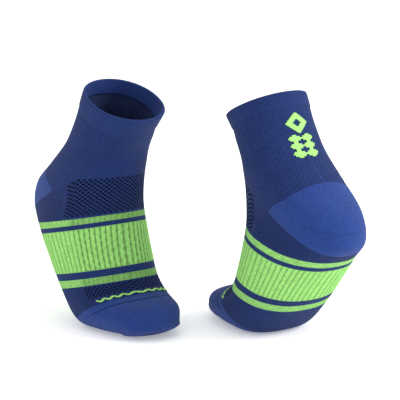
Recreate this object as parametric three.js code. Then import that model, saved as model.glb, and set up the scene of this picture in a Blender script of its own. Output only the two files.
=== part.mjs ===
// A pair of quarter-length running socks, standing on their toes as they are worn on a raised heel.
// Millimetres, +Z up. Each sock is drawn in its own frame: +X towards the toe, +Y sideways, origin on
// the ground under the ball of the foot. The pair stands heel to toe, turned half round to each other.
import * as THREE from 'three';

// ---- Driving sizes ----
const SOCK_REACH = 202;          // back of the heel to the tip of the toe, along the ground
const SOCK_HEIGHT = 235;         // ground to the highest point of the cuff
const CUFF_WIDTH = 75;
const SHIN_WIDTH = 78;
const ANKLE_WIDTH = 80;
const HEEL_TOP_WIDTH = 83;
const HEEL_WIDTH = 85;
const ARCH_WIDTH = 96;
const BALL_WIDTH = 95;
const TOE_LINE_WIDTH = 93;
const TOE_BOX_WIDTH = 80;
const TOE_END_WIDTH = 58;

const WELT_DEPTH = 19;           // folded band at the cuff, measured down the leg
const WELT_STEP = 3;             // how much shorter its inner layer is
const WELT_LAYER = 0.9;          // one layer of the folded band
const FOLD_SHARE = 0.3;          // how far the fold's shoulders are cut off its corners
const ELASTIC_THICKNESS = 0.5;
const ELASTIC_SETBACK = 2.4;     // from its lower edge to the inner layer's edge

const LEG_WALL = 1.5;
const VENT_WALL = 1.2;
const HEEL_WALL = 2.2;
const SIDE_WALL = 1.6;
const STRIPE_WALL = 1.6;
const ARCH_WALL = 1.8;
const FOREFOOT_WALL = 1.8;
const TOE_WALL = 2.2;

const ANKLE_VENT_LENGTH = 47;    // mesh panel over the front of the ankle
const ANKLE_VENT_CHAMFER = 9;    // how much its two top corners are cut back
const HEEL_RISE = 38;            // heel pocket above the gore corners, at the back
const HEEL_DROP = 23;            // heel pocket below the gore corners, under the heel
const GORE_DIP = 2;              // how far the line between its two halves sinks at the back
const HEEL_FULLNESS = 0.75;      // under 1 makes the pocket's edges leave its corners steeply
const GORE_SETBACK = 8;          // gore corners past the section at the heel's widest
const GORE_TO_STRIPE = 31;       // gore corners to the first stripe
const UPPER_GREEN = 6;
const UPPER_BLUE = 5;
const LOWER_BLUE = 7;
const LOWER_GREEN = 8;
const FOREFOOT_LENGTH = 30;      // last stripe to the toe band
const MOTIF_STRIP = 9;           // plain strip between the forefoot vent and the toe band
const TOE_BAND = 9;
const SEAM_WIDTH = 1.6;
const SEAM_PROUD = 0.6;          // how far the linked seam stands out of the toe

const TRIM_THICKNESS = 0.6;      // knitted-in emblem and zigzag
const TRIM_CLEARANCE = 0.55;     // under them, over a curved wall
const EMBLEM_TOP = 26;           // down the leg from the rim
const EMBLEM_LENGTH = 31;
const EMBLEM_HALF_ANGLE = 20;    // degrees round the leg
const EMBLEM_NECK = 0.22;        // width left between two diamonds, as a share of a diamond
const EMBLEM_DIAMONDS = 4;
const ZIGZAG_HEIGHT = 2.2;
const ZIGZAG_SWING = 1.5;
const ZIGZAG_FROM = -54;         // degrees round the toe
const ZIGZAG_TO = 63;
const ZIGZAG_TEETH = 9;

const CLEARANCE = 0.3;           // between stacked pieces
const KNIT_GAP = 0.5;            // between two zones, along the sock
const SIDE_GAP = 0.8;            // between two zones, in degrees round it

const PAIR_GAP = 16;             // clear space between the two socks, side to side
const PAIR_STAGGER = 146;        // between their balls, along those axes

// ---- The outline, drawn for a sock 202 long and 235 high, then stretched to the sizes above ----
const DRAWN_REACH = 202;
const DRAWN_HEIGHT = 235;
const SECTIONS = [
  { front: [76, 205], back: [1, 235], width: CUFF_WIDTH, square: 2.1 },
  { front: [62, 190], back: [-5, 221], width: CUFF_WIDTH, square: 2.1 },
  { front: [53, 179], back: [-13, 201], width: SHIN_WIDTH, square: 2.1 },
  { front: [47, 170], back: [-30, 175], width: ANKLE_WIDTH, square: 2.1 },
  { front: [46, 159], back: [-61, 148], width: HEEL_TOP_WIDTH, square: 2.1 },
  { front: [45, 144], back: [-89, 125], width: HEEL_WIDTH, square: 2.1 },
  { front: [42, 127], back: [-95, 101], width: HEEL_WIDTH, square: 2.2 },
  { front: [34, 107], back: [-75, 81], width: ARCH_WIDTH, square: 2.2 },
  { front: [37, 79], back: [-52, 56], width: ARCH_WIDTH, square: 2.3 },
  { front: [48, 48], back: [-28, 28], width: BALL_WIDTH, square: 2.3 },
  { front: [61, 36], back: [3, 1], width: TOE_LINE_WIDTH, square: 2.5 },
  { front: [87, 28], back: [34, -2], width: TOE_BOX_WIDTH, square: 2.5 },
  { front: [101, 15], back: [60, -1], width: TOE_END_WIDTH, square: 2.3 },
];
const TOE_TIP = [88, 0];
const GORE_SECTION = 5;
const BALL_SECTION = 9;

const COLUMNS = 24;
const STEP = 360 / COLUMNS;
const ANKLE_VENT_ANGLE = 5 * STEP;
const FOREFOOT_VENT_ANGLE = 4.5 * STEP;
const GORE_ANGLE = 6 * STEP;
const GORE_START = GORE_ANGLE + 5;
const GORE_ENDS = [GORE_START, 360 - GORE_START];
const TOE_BAND_ANGLE = 5.5 * STEP;
const EDGE_STEPS = 4;            // points along the side of a notch

const BLUE = 0x2c4a8c;
const BRIGHT_BLUE = 0x3058a6;
const DARK_BLUE = 0x24386e;
const LIME = 0x8fdc70;
const ELASTIC_WHITE = 0xd8dbe0;

// ---- The limb: a closed section at every distance along the sock's centre line ----
const stretched = SECTIONS.map((section) => ({
  front: stretch(section.front),
  back: stretch(section.back),
  half: section.width / 2,
  square: section.square,
}));
const tip = stretch(TOE_TIP);
const stations = measureStations();
const LAST = stretched.length - 1;
const TIP_DISTANCE = stations[LAST] + centre(stretched[LAST]).distanceTo(tip);

function stretch([x, z]) {
  return new THREE.Vector2((x * SOCK_REACH) / DRAWN_REACH, (z * SOCK_HEIGHT) / DRAWN_HEIGHT);
}

function centre(section) {
  return section.front.clone().add(section.back).multiplyScalar(0.5);
}

function measureStations() {
  const distances = [0];
  for (let i = 1; i < stretched.length; i += 1) {
    distances.push(distances[i - 1] + centre(stretched[i]).distanceTo(centre(stretched[i - 1])));
  }
  return distances;
}

// Smooth value through four neighbours, for a share 0..1 of the way from b to c.
function smooth(a, b, c, d, share) {
  const cubic = -a + 3 * b - 3 * c + d;
  const square = 2 * a - 5 * b + 4 * c - d;
  return 0.5 * (2 * b + (c - a) * share + square * share ** 2 + cubic * share ** 3);
}

function neighbour(index, read) {
  if (index < 0) return 2 * read(stretched[0]) - read(stretched[1]);
  if (index > LAST) return 2 * read(stretched[LAST]) - read(stretched[LAST - 1]);
  return read(stretched[index]);
}

function blendSections(index, share, read) {
  const around = [-1, 0, 1, 2].map((step) => neighbour(index + step, read));
  return smooth(...around, share);
}

// The section at a distance: its centre, its half depth towards the front, its half width.
function sectionAt(distance) {
  if (distance >= stations[LAST]) return toeSection(distance);
  let index = 0;
  while (index < LAST - 1 && distance >= stations[index + 1]) index += 1;
  const share = (distance - stations[index]) / (stations[index + 1] - stations[index]);
  const read = (pick) => blendSections(index, share, pick);
  const front = new THREE.Vector2(read((s) => s.front.x), read((s) => s.front.y));
  const back = new THREE.Vector2(read((s) => s.back.x), read((s) => s.back.y));
  return {
    middle: front.clone().add(back).multiplyScalar(0.5),
    depth: front.sub(back).multiplyScalar(0.5),
    half: read((s) => s.half),
    square: read((s) => s.square),
  };
}

// Past the last section the toe closes in a quarter ellipse, as the end of an egg does.
function toeSection(distance) {
  const end = stretched[LAST];
  const share = Math.min(1, (distance - stations[LAST]) / (TIP_DISTANCE - stations[LAST]));
  const shrink = Math.cos((share * Math.PI) / 2);
  return {
    middle: centre(end).lerp(tip, Math.sin((share * Math.PI) / 2)),
    depth: end.front.clone().sub(end.back).multiplyScalar(0.5 * shrink),
    half: end.half * shrink,
    square: end.square,
  };
}

// A point of the outer surface. Angle 0 is the front, 180 the back or sole, in degrees.
function limbPoint(distance, angle) {
  const section = sectionAt(distance);
  const turn = THREE.MathUtils.degToRad(angle);
  const power = 2 / section.square;
  const forward = Math.sign(Math.cos(turn)) * Math.abs(Math.cos(turn)) ** power;
  const sideways = Math.sign(Math.sin(turn)) * Math.abs(Math.sin(turn)) ** power;
  const x = section.middle.x + section.depth.x * forward;
  const z = section.middle.y + section.depth.y * forward;
  return new THREE.Vector3(x, section.half * sideways, Math.max(z, 0));
}

// The direction out of the limb at a point of its surface.
function limbNormal(distance, angle) {
  const reach = 0.6;
  const swing = 1.5;
  const near = Math.min(distance, TIP_DISTANCE - 1.5);
  const along = limbPoint(near + reach, angle).sub(limbPoint(near - reach, angle));
  const round = limbPoint(near, angle + swing).sub(limbPoint(near, angle - swing));
  return along.cross(round).normalize();
}

// A point that lies so deep under the outer surface; a negative depth stands proud of it.
function wallPoint(distance, angle, depth) {
  return limbPoint(distance, angle).addScaledVector(limbNormal(distance, angle), -depth);
}

// ---- Closed shells over a zone of the limb ----
function gridFaces(rows, columns, closed, indexOf) {
  const faces = [];
  const last = closed ? columns : columns - 1;
  for (let row = 0; row < rows - 1; row += 1) {
    for (let column = 0; column < last; column += 1) {
      const next = (column + 1) % columns;
      const corners = [
        indexOf(row, column),
        indexOf(row, next),
        indexOf(row + 1, next),
        indexOf(row + 1, column),
      ];
      faces.push([corners[0], corners[1], corners[2]], [corners[0], corners[2], corners[3]]);
    }
  }
  return faces;
}

function solidFrom(points, faces) {
  const sound = faces.filter(([a, b, c]) => a !== b && b !== c && c !== a);
  let volume = 0;
  for (const [a, b, c] of sound) {
    volume += points[a].dot(points[b].clone().cross(points[c]));
  }
  const index = sound.flatMap(([a, b, c]) => (volume > 0 ? [a, b, c] : [a, c, b]));
  const geometry = new THREE.BufferGeometry();
  geometry.setFromPoints(points);
  geometry.setIndex(index);
  geometry.computeVertexNormals();
  return geometry;
}

// A zone between two lines, top(angle) and bottom(angle), as a wall of even thickness.
// A closed zone runs all the way round; one with a tip closes to a point at its bottom line.
function zoneShell({ angles, top, bottom, rows, outer, inner, closed = false, hasTip = false }) {
  const columns = angles.length;
  const points = [];
  const lines = rows + 1;
  const layerSize = lines * columns;
  for (const depth of [outer, inner]) {
    for (let row = 0; row < lines; row += 1) {
      for (const angle of angles) {
        const distance = THREE.MathUtils.lerp(top(angle), bottom(angle), row / rows);
        const tipRow = hasTip && row === rows;
        points.push(tipRow ? tipPoint(depth) : wallPoint(distance, angle, depth));
      }
    }
  }
  const vertex = (layer) => (row, column) => {
    const tipRow = hasTip && row === rows;
    return layer * layerSize + row * columns + (tipRow ? 0 : column);
  };
  const outside = vertex(0);
  const inside = vertex(1);
  const flip = ([a, b, c]) => [a, c, b];
  const faces = gridFaces(lines, columns, closed, outside);
  faces.push(...gridFaces(lines, columns, closed, inside).map(flip));
  const rim = (row) => (side, column) => (side === 0 ? outside : inside)(row, column);
  faces.push(...gridFaces(2, columns, closed, rim(0)).map(flip));
  if (!hasTip) faces.push(...gridFaces(2, columns, closed, rim(rows)));
  if (!closed) {
    const edge = (column) => (side, row) => (side === 0 ? outside : inside)(row, column);
    faces.push(...gridFaces(2, lines, false, edge(0)));
    faces.push(...gridFaces(2, lines, false, edge(columns - 1)).map(flip));
  }
  return solidFrom(points, faces);
}

function tipPoint(depth) {
  const inwards = centre(stretched[LAST]).sub(tip).normalize().multiplyScalar(depth);
  return new THREE.Vector3(tip.x + inwards.x, 0, Math.max(tip.y, 0) + inwards.y);
}

// A ring swept round the limb from a closed profile of [depth, distance] corners.
function sweptRing(profile) {
  const angles = allRound();
  const points = profile.flatMap(([depth, distance]) => (
    angles.map((angle) => wallPoint(distance, angle, depth))
  ));
  const indexOf = (row, column) => (row % profile.length) * COLUMNS + column;
  return solidFrom(points, gridFaces(profile.length + 1, COLUMNS, true, indexOf));
}

// ---- Columns of angles ----
function allRound(extra = []) {
  const angles = Array.from({ length: COLUMNS }, (_, i) => i * STEP);
  return [...new Set([...angles, ...extra])].sort((a, b) => a - b);
}

function arc(from, to, extra = []) {
  const steps = Array.from({ length: 2 * COLUMNS }, (_, i) => (i - COLUMNS / 2) * STEP);
  const inside = [...steps, ...extra].sort((a, b) => a - b);
  return [from, ...inside.filter((angle) => angle > from + 1 && angle < to - 1), to];
}

// Columns along both sides of a panel, where a ring's edge turns and runs past the panel.
function panelEdges(panelAngle) {
  const steps = Array.from({ length: EDGE_STEPS + 1 }, (_, i) => i / EDGE_STEPS);
  const right = steps.map((share) => panelAngle + SIDE_GAP * (0.5 + share));
  return [...right, ...right.map((angle) => 360 - angle)];
}

// The edge of a ring that is notched round a panel: one line beside the panel, another past it.
function notched(angle, panelAngle, beside, past) {
  const share = (fromFront(angle) - panelAngle) / SIDE_GAP - 0.5;
  return THREE.MathUtils.lerp(beside, past, THREE.MathUtils.clamp(share, 0, 1));
}

function fromFront(angle) {
  const turned = ((angle % 360) + 360) % 360;
  return Math.min(turned, 360 - turned);
}

// ---- Lines between the zones, as distances down the sock ----
const goreLine = stations[GORE_SECTION] + GORE_SETBACK;
const ballLine = stations[BALL_SECTION];
const upperGreenTop = goreLine + GORE_TO_STRIPE;
const upperBlueTop = upperGreenTop + UPPER_GREEN;
const archTop = upperBlueTop + UPPER_BLUE;
const lowerGreenTop = ballLine - LOWER_GREEN;
const lowerBlueTop = lowerGreenTop - LOWER_BLUE;
const toeBandTop = ballLine + FOREFOOT_LENGTH;
const toeSeam = toeBandTop + TOE_BAND;
const seamHalf = SEAM_WIDTH / 2 + KNIT_GAP;
const ventTop = upperGreenTop - ANKLE_VENT_LENGTH;

function ankleVentLine(angle) {
  const cut = (fromFront(angle) - (ANKLE_VENT_ANGLE - STEP)) / STEP;
  return ventTop + ANKLE_VENT_CHAMFER * THREE.MathUtils.clamp(cut, 0, 1);
}

// How far round an angle is from the gore corners, 0, to the middle of the back, 1.
function heelShare(angle) {
  return THREE.MathUtils.clamp((fromFront(angle) - GORE_ANGLE) / (180 - GORE_ANGLE), 0, 1);
}

// The same, but rising steeply from the corners and levelling off at the back.
function pocketSwell(angle) {
  return Math.sin((Math.PI / 2) * heelShare(angle)) ** HEEL_FULLNESS;
}

function heelTop(angle) {
  return goreLine - HEEL_RISE * pocketSwell(angle);
}

function heelMiddle(angle) {
  return goreLine + GORE_DIP * heelShare(angle);
}

function heelBottom(angle) {
  return goreLine + HEEL_DROP * pocketSwell(angle);
}

function legBottom(angle) {
  return notched(angle, ANKLE_VENT_ANGLE, ankleVentLine(angle), heelTop(angle));
}

function forefootTop(angle) {
  return notched(angle, FOREFOOT_VENT_ANGLE, toeBandTop - MOTIF_STRIP, ballLine);
}

function toePocketTop(angle) {
  return notched(angle, TOE_BAND_ANGLE, toeSeam + seamHalf, toeBandTop + KNIT_GAP / 2);
}

const after = (line) => (angle) => (typeof line === 'function' ? line(angle) : line) + KNIT_GAP / 2;
const before = (line) => (angle) => (typeof line === 'function' ? line(angle) : line) - KNIT_GAP / 2;

// ---- The pieces of one sock ----
const weltInnerFace = 2 * WELT_LAYER + ELASTIC_THICKNESS + 2 * CLEARANCE;
const weltTurnIn = WELT_DEPTH - WELT_STEP;
const slotTop = weltInnerFace / 2 + WELT_LAYER / 2;

function cuffWelt() {
  const edge = WELT_DEPTH - KNIT_GAP / 2;
  const middle = WELT_DEPTH / 2;
  const bend = weltInnerFace / 2;
  const shoulder = bend * FOLD_SHARE;
  return sweptRing([
    [0, edge],
    [0, middle],
    [0, bend],
    [shoulder, shoulder],
    [bend, 0],
    [weltInnerFace - shoulder, shoulder],
    [weltInnerFace, bend],
    [weltInnerFace, middle],
    [weltInnerFace, weltTurnIn],
    [weltInnerFace - WELT_LAYER, weltTurnIn],
    [weltInnerFace - WELT_LAYER, middle],
    [weltInnerFace - WELT_LAYER, slotTop],
    [WELT_LAYER, slotTop],
    [WELT_LAYER, middle],
    [WELT_LAYER, edge],
  ]);
}

function weltElastic() {
  const outer = WELT_LAYER + CLEARANCE;
  return zoneShell({
    angles: allRound(),
    top: () => slotTop + CLEARANCE,
    bottom: () => weltTurnIn - ELASTIC_SETBACK,
    rows: 2,
    outer,
    inner: outer + ELASTIC_THICKNESS,
    closed: true,
  });
}

function legKnit() {
  return zoneShell({
    angles: allRound([...panelEdges(ANKLE_VENT_ANGLE), ...GORE_ENDS]),
    top: after(WELT_DEPTH), bottom: before(legBottom),
    rows: 8, outer: 0, inner: LEG_WALL, closed: true,
  });
}

// A chain of diamonds that touch at narrow necks, down the middle of the back.
function emblem() {
  const rows = EMBLEM_DIAMONDS * 2;
  const columns = 5;
  const points = [];
  for (const depth of [-TRIM_CLEARANCE - TRIM_THICKNESS, -TRIM_CLEARANCE]) {
    for (let row = 0; row <= rows; row += 1) {
      const distance = EMBLEM_TOP + (EMBLEM_LENGTH * row) / rows;
      const spread = EMBLEM_HALF_ANGLE * (row % 2 === 1 ? 1 : EMBLEM_NECK);
      for (let column = 0; column < columns; column += 1) {
        const side = (2 * column) / (columns - 1) - 1;
        points.push(wallPoint(distance, 180 + spread * side, depth));
      }
    }
  }
  return slabFrom(points, rows + 1, columns);
}

// A zigzag line across the top of the forefoot, just before the toe.
function zigzag() {
  const columns = 2 * ZIGZAG_TEETH + 1;
  const points = [];
  for (const depth of [-TRIM_CLEARANCE - TRIM_THICKNESS, -TRIM_CLEARANCE]) {
    for (let row = 0; row < 2; row += 1) {
      for (let column = 0; column < columns; column += 1) {
        const angle = THREE.MathUtils.lerp(ZIGZAG_FROM, ZIGZAG_TO, column / (columns - 1));
        const swing = column % 2 === 0 ? -ZIGZAG_SWING / 2 : ZIGZAG_SWING / 2;
        const distance = toeBandTop - MOTIF_STRIP / 2 + swing + (row - 0.5) * ZIGZAG_HEIGHT;
        points.push(wallPoint(distance, angle, depth));
      }
    }
  }
  return slabFrom(points, 2, columns);
}

// Closes two layers of rows x columns points into one thin slab.
function slabFrom(points, rows, columns) {
  const vertex = (layer) => (row, column) => layer * rows * columns + row * columns + column;
  const outside = vertex(0);
  const inside = vertex(1);
  const flip = ([a, b, c]) => [a, c, b];
  const pick = (side) => (side === 0 ? outside : inside);
  const faces = gridFaces(rows, columns, false, outside);
  faces.push(...gridFaces(rows, columns, false, inside).map(flip));
  faces.push(...gridFaces(2, columns, false, (side, column) => pick(side)(0, column)).map(flip));
  faces.push(...gridFaces(2, columns, false, (side, column) => pick(side)(rows - 1, column)));
  faces.push(...gridFaces(2, rows, false, (side, row) => pick(side)(row, 0)));
  faces.push(...gridFaces(2, rows, false, (side, row) => pick(side)(row, columns - 1)).map(flip));
  return solidFrom(points, faces);
}

function ankleVent() {
  const edge = ANKLE_VENT_ANGLE - SIDE_GAP / 2;
  return zoneShell({
    angles: arc(-edge, edge), top: after(ankleVentLine), bottom: before(upperGreenTop),
    rows: 4, outer: 0, inner: VENT_WALL,
  });
}

function heelHalf(top, bottom, rows) {
  return zoneShell({
    angles: arc(...GORE_ENDS), top: after(top), bottom: before(bottom),
    rows, outer: 0, inner: HEEL_WALL,
  });
}

function heelSurround() {
  const edge = ANKLE_VENT_ANGLE + 1.5 * SIDE_GAP;
  return zoneShell({
    angles: arc(edge, 360 - edge, GORE_ENDS),
    top: after(heelBottom), bottom: before(upperGreenTop),
    rows: 2, outer: 0, inner: SIDE_WALL,
  });
}

function band(top, bottom, wall, rows) {
  return zoneShell({
    angles: allRound(), top: after(top), bottom: before(bottom),
    rows, outer: 0, inner: wall, closed: true,
  });
}

function forefootVent() {
  const edge = FOREFOOT_VENT_ANGLE - SIDE_GAP / 2;
  return zoneShell({
    angles: arc(-edge, edge), top: after(ballLine), bottom: before(toeBandTop - MOTIF_STRIP),
    rows: 2, outer: 0, inner: VENT_WALL,
  });
}

function forefootKnit() {
  return zoneShell({
    angles: allRound(panelEdges(FOREFOOT_VENT_ANGLE)), top: after(forefootTop), bottom: before(toeBandTop),
    rows: 3, outer: 0, inner: FOREFOOT_WALL, closed: true,
  });
}

function toeBand() {
  const edge = TOE_BAND_ANGLE - SIDE_GAP / 2;
  return zoneShell({
    angles: arc(-edge, edge), top: after(toeBandTop), bottom: () => toeSeam - seamHalf,
    rows: 1, outer: 0, inner: TOE_WALL,
  });
}

function toeLinkSeam() {
  const edge = TOE_BAND_ANGLE - SIDE_GAP / 2;
  return zoneShell({
    angles: arc(-edge, edge), top: () => toeSeam - SEAM_WIDTH / 2, bottom: () => toeSeam + SEAM_WIDTH / 2,
    rows: 1, outer: -SEAM_PROUD, inner: TOE_WALL,
  });
}

function toePocket() {
  return zoneShell({
    angles: allRound(panelEdges(TOE_BAND_ANGLE)), top: toePocketTop, bottom: () => TIP_DISTANCE,
    rows: 6, outer: 0, inner: TOE_WALL, closed: true, hasTip: true,
  });
}

// ---- The pair ----
function knitMaterial(colour) {
  return new THREE.MeshStandardMaterial({ color: colour, roughness: 0.9, metalness: 0 });
}

const PIECES = [
  ['cuff_welt', cuffWelt, BLUE],
  ['welt_elastic', weltElastic, ELASTIC_WHITE],
  ['leg_knit', legKnit, BLUE],
  ['leg_emblem', emblem, LIME],
  ['ankle_vent', ankleVent, DARK_BLUE],
  ['heel_upper', () => heelHalf(heelTop, heelMiddle, 2), BRIGHT_BLUE],
  ['heel_lower', () => heelHalf(heelMiddle, heelBottom, 3), BRIGHT_BLUE],
  ['heel_surround', heelSurround, BLUE],
  ['upper_green_stripe', () => band(upperGreenTop, upperBlueTop, STRIPE_WALL, 1), LIME],
  ['upper_blue_stripe', () => band(upperBlueTop, archTop, STRIPE_WALL, 1), BLUE],
  ['arch_band', () => band(archTop, lowerBlueTop, ARCH_WALL, 3), LIME],
  ['lower_blue_stripe', () => band(lowerBlueTop, lowerGreenTop, STRIPE_WALL, 1), BLUE],
  ['lower_green_stripe', () => band(lowerGreenTop, ballLine, STRIPE_WALL, 1), LIME],
  ['forefoot_vent', forefootVent, DARK_BLUE],
  ['forefoot_knit', forefootKnit, BLUE],
  ['toe_zigzag', zigzag, LIME],
  ['toe_band', toeBand, BRIGHT_BLUE],
  ['toe_link_seam', toeLinkSeam, DARK_BLUE],
  ['toe_pocket', toePocket, BRIGHT_BLUE],
];

function sock(side) {
  const group = new THREE.Group();
  for (const [name, shape, colour] of PIECES) {
    const mesh = new THREE.Mesh(shape(), knitMaterial(colour));
    mesh.name = `${side}_${name}`;
    group.add(mesh);
  }
  return group;
}

const pairSpacing = Math.max(...SECTIONS.map((section) => section.width)) + PAIR_GAP;

const leftSock = sock('left');
leftSock.rotation.z = -Math.PI / 2;
leftSock.position.set(-pairSpacing / 2, PAIR_STAGGER / 2, 0);

const rightSock = sock('right');
rightSock.rotation.z = Math.PI / 2;
rightSock.position.set(pairSpacing / 2, -PAIR_STAGGER / 2, 0);

const pair = new THREE.Group();
pair.add(leftSock, rightSock);

export default pair;
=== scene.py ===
"""A pair of ankle running socks in blue and lime, standing on their toes, for Blender 4.5.

Each sock is a tube of knitted zones round one smooth limb. A zone is a closed shell on a grid of
half wales and courses, so ribs, vent holes, emblem steps and seams are real geometry; the single
stitches come from a node group that reads the zone's own wale and course coordinates.
Lengths are in metres unless a name says otherwise, and angles round the sock are in degrees, with
0 at the front and 180 at the back or the sole.
"""

import logging
import math
from collections.abc import Callable
from dataclasses import dataclass, field
from enum import Enum

import bpy
import numpy as np
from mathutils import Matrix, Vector


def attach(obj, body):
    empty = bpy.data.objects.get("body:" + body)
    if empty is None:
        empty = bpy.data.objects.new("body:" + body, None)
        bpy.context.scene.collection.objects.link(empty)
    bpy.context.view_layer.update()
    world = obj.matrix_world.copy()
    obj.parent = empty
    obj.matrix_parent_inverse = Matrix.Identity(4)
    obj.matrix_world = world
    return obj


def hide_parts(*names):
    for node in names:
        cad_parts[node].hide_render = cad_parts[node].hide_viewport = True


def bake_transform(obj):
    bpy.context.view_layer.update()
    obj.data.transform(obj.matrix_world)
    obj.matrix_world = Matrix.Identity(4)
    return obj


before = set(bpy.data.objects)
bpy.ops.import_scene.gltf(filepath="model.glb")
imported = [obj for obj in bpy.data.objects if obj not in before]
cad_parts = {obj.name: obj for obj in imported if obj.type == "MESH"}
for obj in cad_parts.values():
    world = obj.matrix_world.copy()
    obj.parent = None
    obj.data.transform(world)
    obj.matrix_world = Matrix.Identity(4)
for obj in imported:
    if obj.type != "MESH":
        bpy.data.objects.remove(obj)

LOG = logging.getLogger("socks")
MM = 0.001
HALF_WALES = 336
DEGREES_PER_COLUMN = 360 / HALF_WALES
STITCH_MAP = "stitches"
TONE = "tone"

SHARPEST_SMOOTH_EDGE = 48

Array = np.ndarray


class Side(Enum):
    """Which sock of the pair."""

    LEFT = "left"
    RIGHT = "right"


class Part(Enum):
    """The body that a zone moves with, as a suffix of the body's name."""

    LEG = "leg"
    FOOT = "foot"
    TOE = "toe"


class Layer(Enum):
    """The two faces of a knitted wall, as material indices."""

    FACE = 0
    REVERSE = 1


# ---------------------------------------------------------------------------------------------
# Finishes
# ---------------------------------------------------------------------------------------------


REVERSE_SHARE = 0.75
REVERSE_GREY = 0.012
REVERSE_DEPTH = 0.6
REVERSE_SHEEN = 0.15
REVERSE_ROUGHNESS = 0.93


@dataclass(frozen=True)
class KnitFinish:
    """A knitted cloth: its yarn colours and how deep its stitches read.

    Colours are linear. Melange is the share of dark ground yarn that shows between the stitches.
    The gap colour is painted shade between the stitch legs, and the ground-yarn flecks take it too.
    """

    name: str
    slot: str
    yarn: tuple[float, float, float]
    # painted shade between the stitch legs, also the colour of the ground-yarn flecks
    gap: tuple[float, float, float]
    stitch_depth: float = 0.30
    gap_shade_strength: float = 0.55
    melange: float = 0.0
    mottle: float = 0.10
    sheen: float = 0.09
    roughness: float = 0.86

    def reverse(self) -> "KnitFinish":
        """The purl side of the same cloth, darker and flatter.

        Returns:
            The reverse's own finish.
        """
        dark = tuple(REVERSE_SHARE * channel + REVERSE_GREY for channel in self.yarn)
        gap = tuple(REVERSE_SHARE * channel + REVERSE_GREY / 2 for channel in self.gap)
        return KnitFinish(
            name=f"{self.name}_reverse",
            slot=self.slot,
            yarn=dark,
            gap=gap,
            stitch_depth=REVERSE_DEPTH * self.stitch_depth,
            mottle=self.mottle,
            sheen=REVERSE_SHEEN,
            roughness=REVERSE_ROUGHNESS,
        )


BODY_BLUE = KnitFinish(
    "body_blue_jersey", "leg_blue", (0.0138, 0.0335, 0.145), (0.0026, 0.0062, 0.029), gap_shade_strength=0.85
)
WELT_BLUE = KnitFinish(
    "welt_blue_jersey", "leg_blue", (0.0146, 0.0355, 0.153), (0.0030, 0.0072, 0.034), gap_shade_strength=0.80
)
SOLE_BLUE = KnitFinish(
    "sole_blue_jersey", "leg_blue", (0.0132, 0.0320, 0.140), (0.0026, 0.0062, 0.029), gap_shade_strength=0.90
)
PIN_BLUE = KnitFinish(
    "pinhole_blue_jersey", "leg_blue", (0.0130, 0.0315, 0.140), (0.0014, 0.0032, 0.015),
    gap_shade_strength=1.0, melange=0.35,
)
VENT_BLUE = KnitFinish(
    "vent_blue_mesh", "vent_blue", (0.0130, 0.0315, 0.136), (0.0026, 0.0062, 0.028), gap_shade_strength=0.70
)
HEEL_BLUE = KnitFinish(
    "heel_blue_terry", "heel_blue", (0.0195, 0.0530, 0.245), (0.0068, 0.0185, 0.094),
    stitch_depth=0.28, gap_shade_strength=0.60, sheen=0.20,
)
# Darker navy on the raised link seam: painted shade that stands for the seam's shadow.
SEAM_SHADE_BLUE = KnitFinish("seam_blue_link_painted_shade", "vent_blue", (0.0085, 0.0195, 0.085), (0.0026, 0.0058, 0.026))
LIME = KnitFinish(
    "lime_rib", "lime", (0.305, 0.660, 0.172), (0.100, 0.290, 0.060), gap_shade_strength=0.36, mottle=0.07
)
LIME_STRIPE = KnitFinish(
    "lime_stripe_jersey", "lime", (0.285, 0.620, 0.165), (0.060, 0.170, 0.055),
    gap_shade_strength=0.42, melange=0.22, mottle=0.08,
)
LIME_MOTIF = KnitFinish(
    "lime_intarsia", "lime", (0.390, 0.780, 0.215), (0.150, 0.400, 0.090),
    gap_shade_strength=0.30, mottle=0.05,
)
# Near-black for the net behind the vent holes, for the holes' walls and for the vent's inside: a dark
# backing mesh, and painted shade in the holes.
DARK_NET_AND_HOLE_SHADE = KnitFinish(
    "vent_net_and_hole_shade", "vent_blue", (0.0016, 0.0024, 0.0060), (0.0004, 0.0006, 0.0015), sheen=0.0
)
ELASTIC = KnitFinish("covered_elastic", "elastic", (0.62, 0.64, 0.68), (0.30, 0.31, 0.34))


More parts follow.
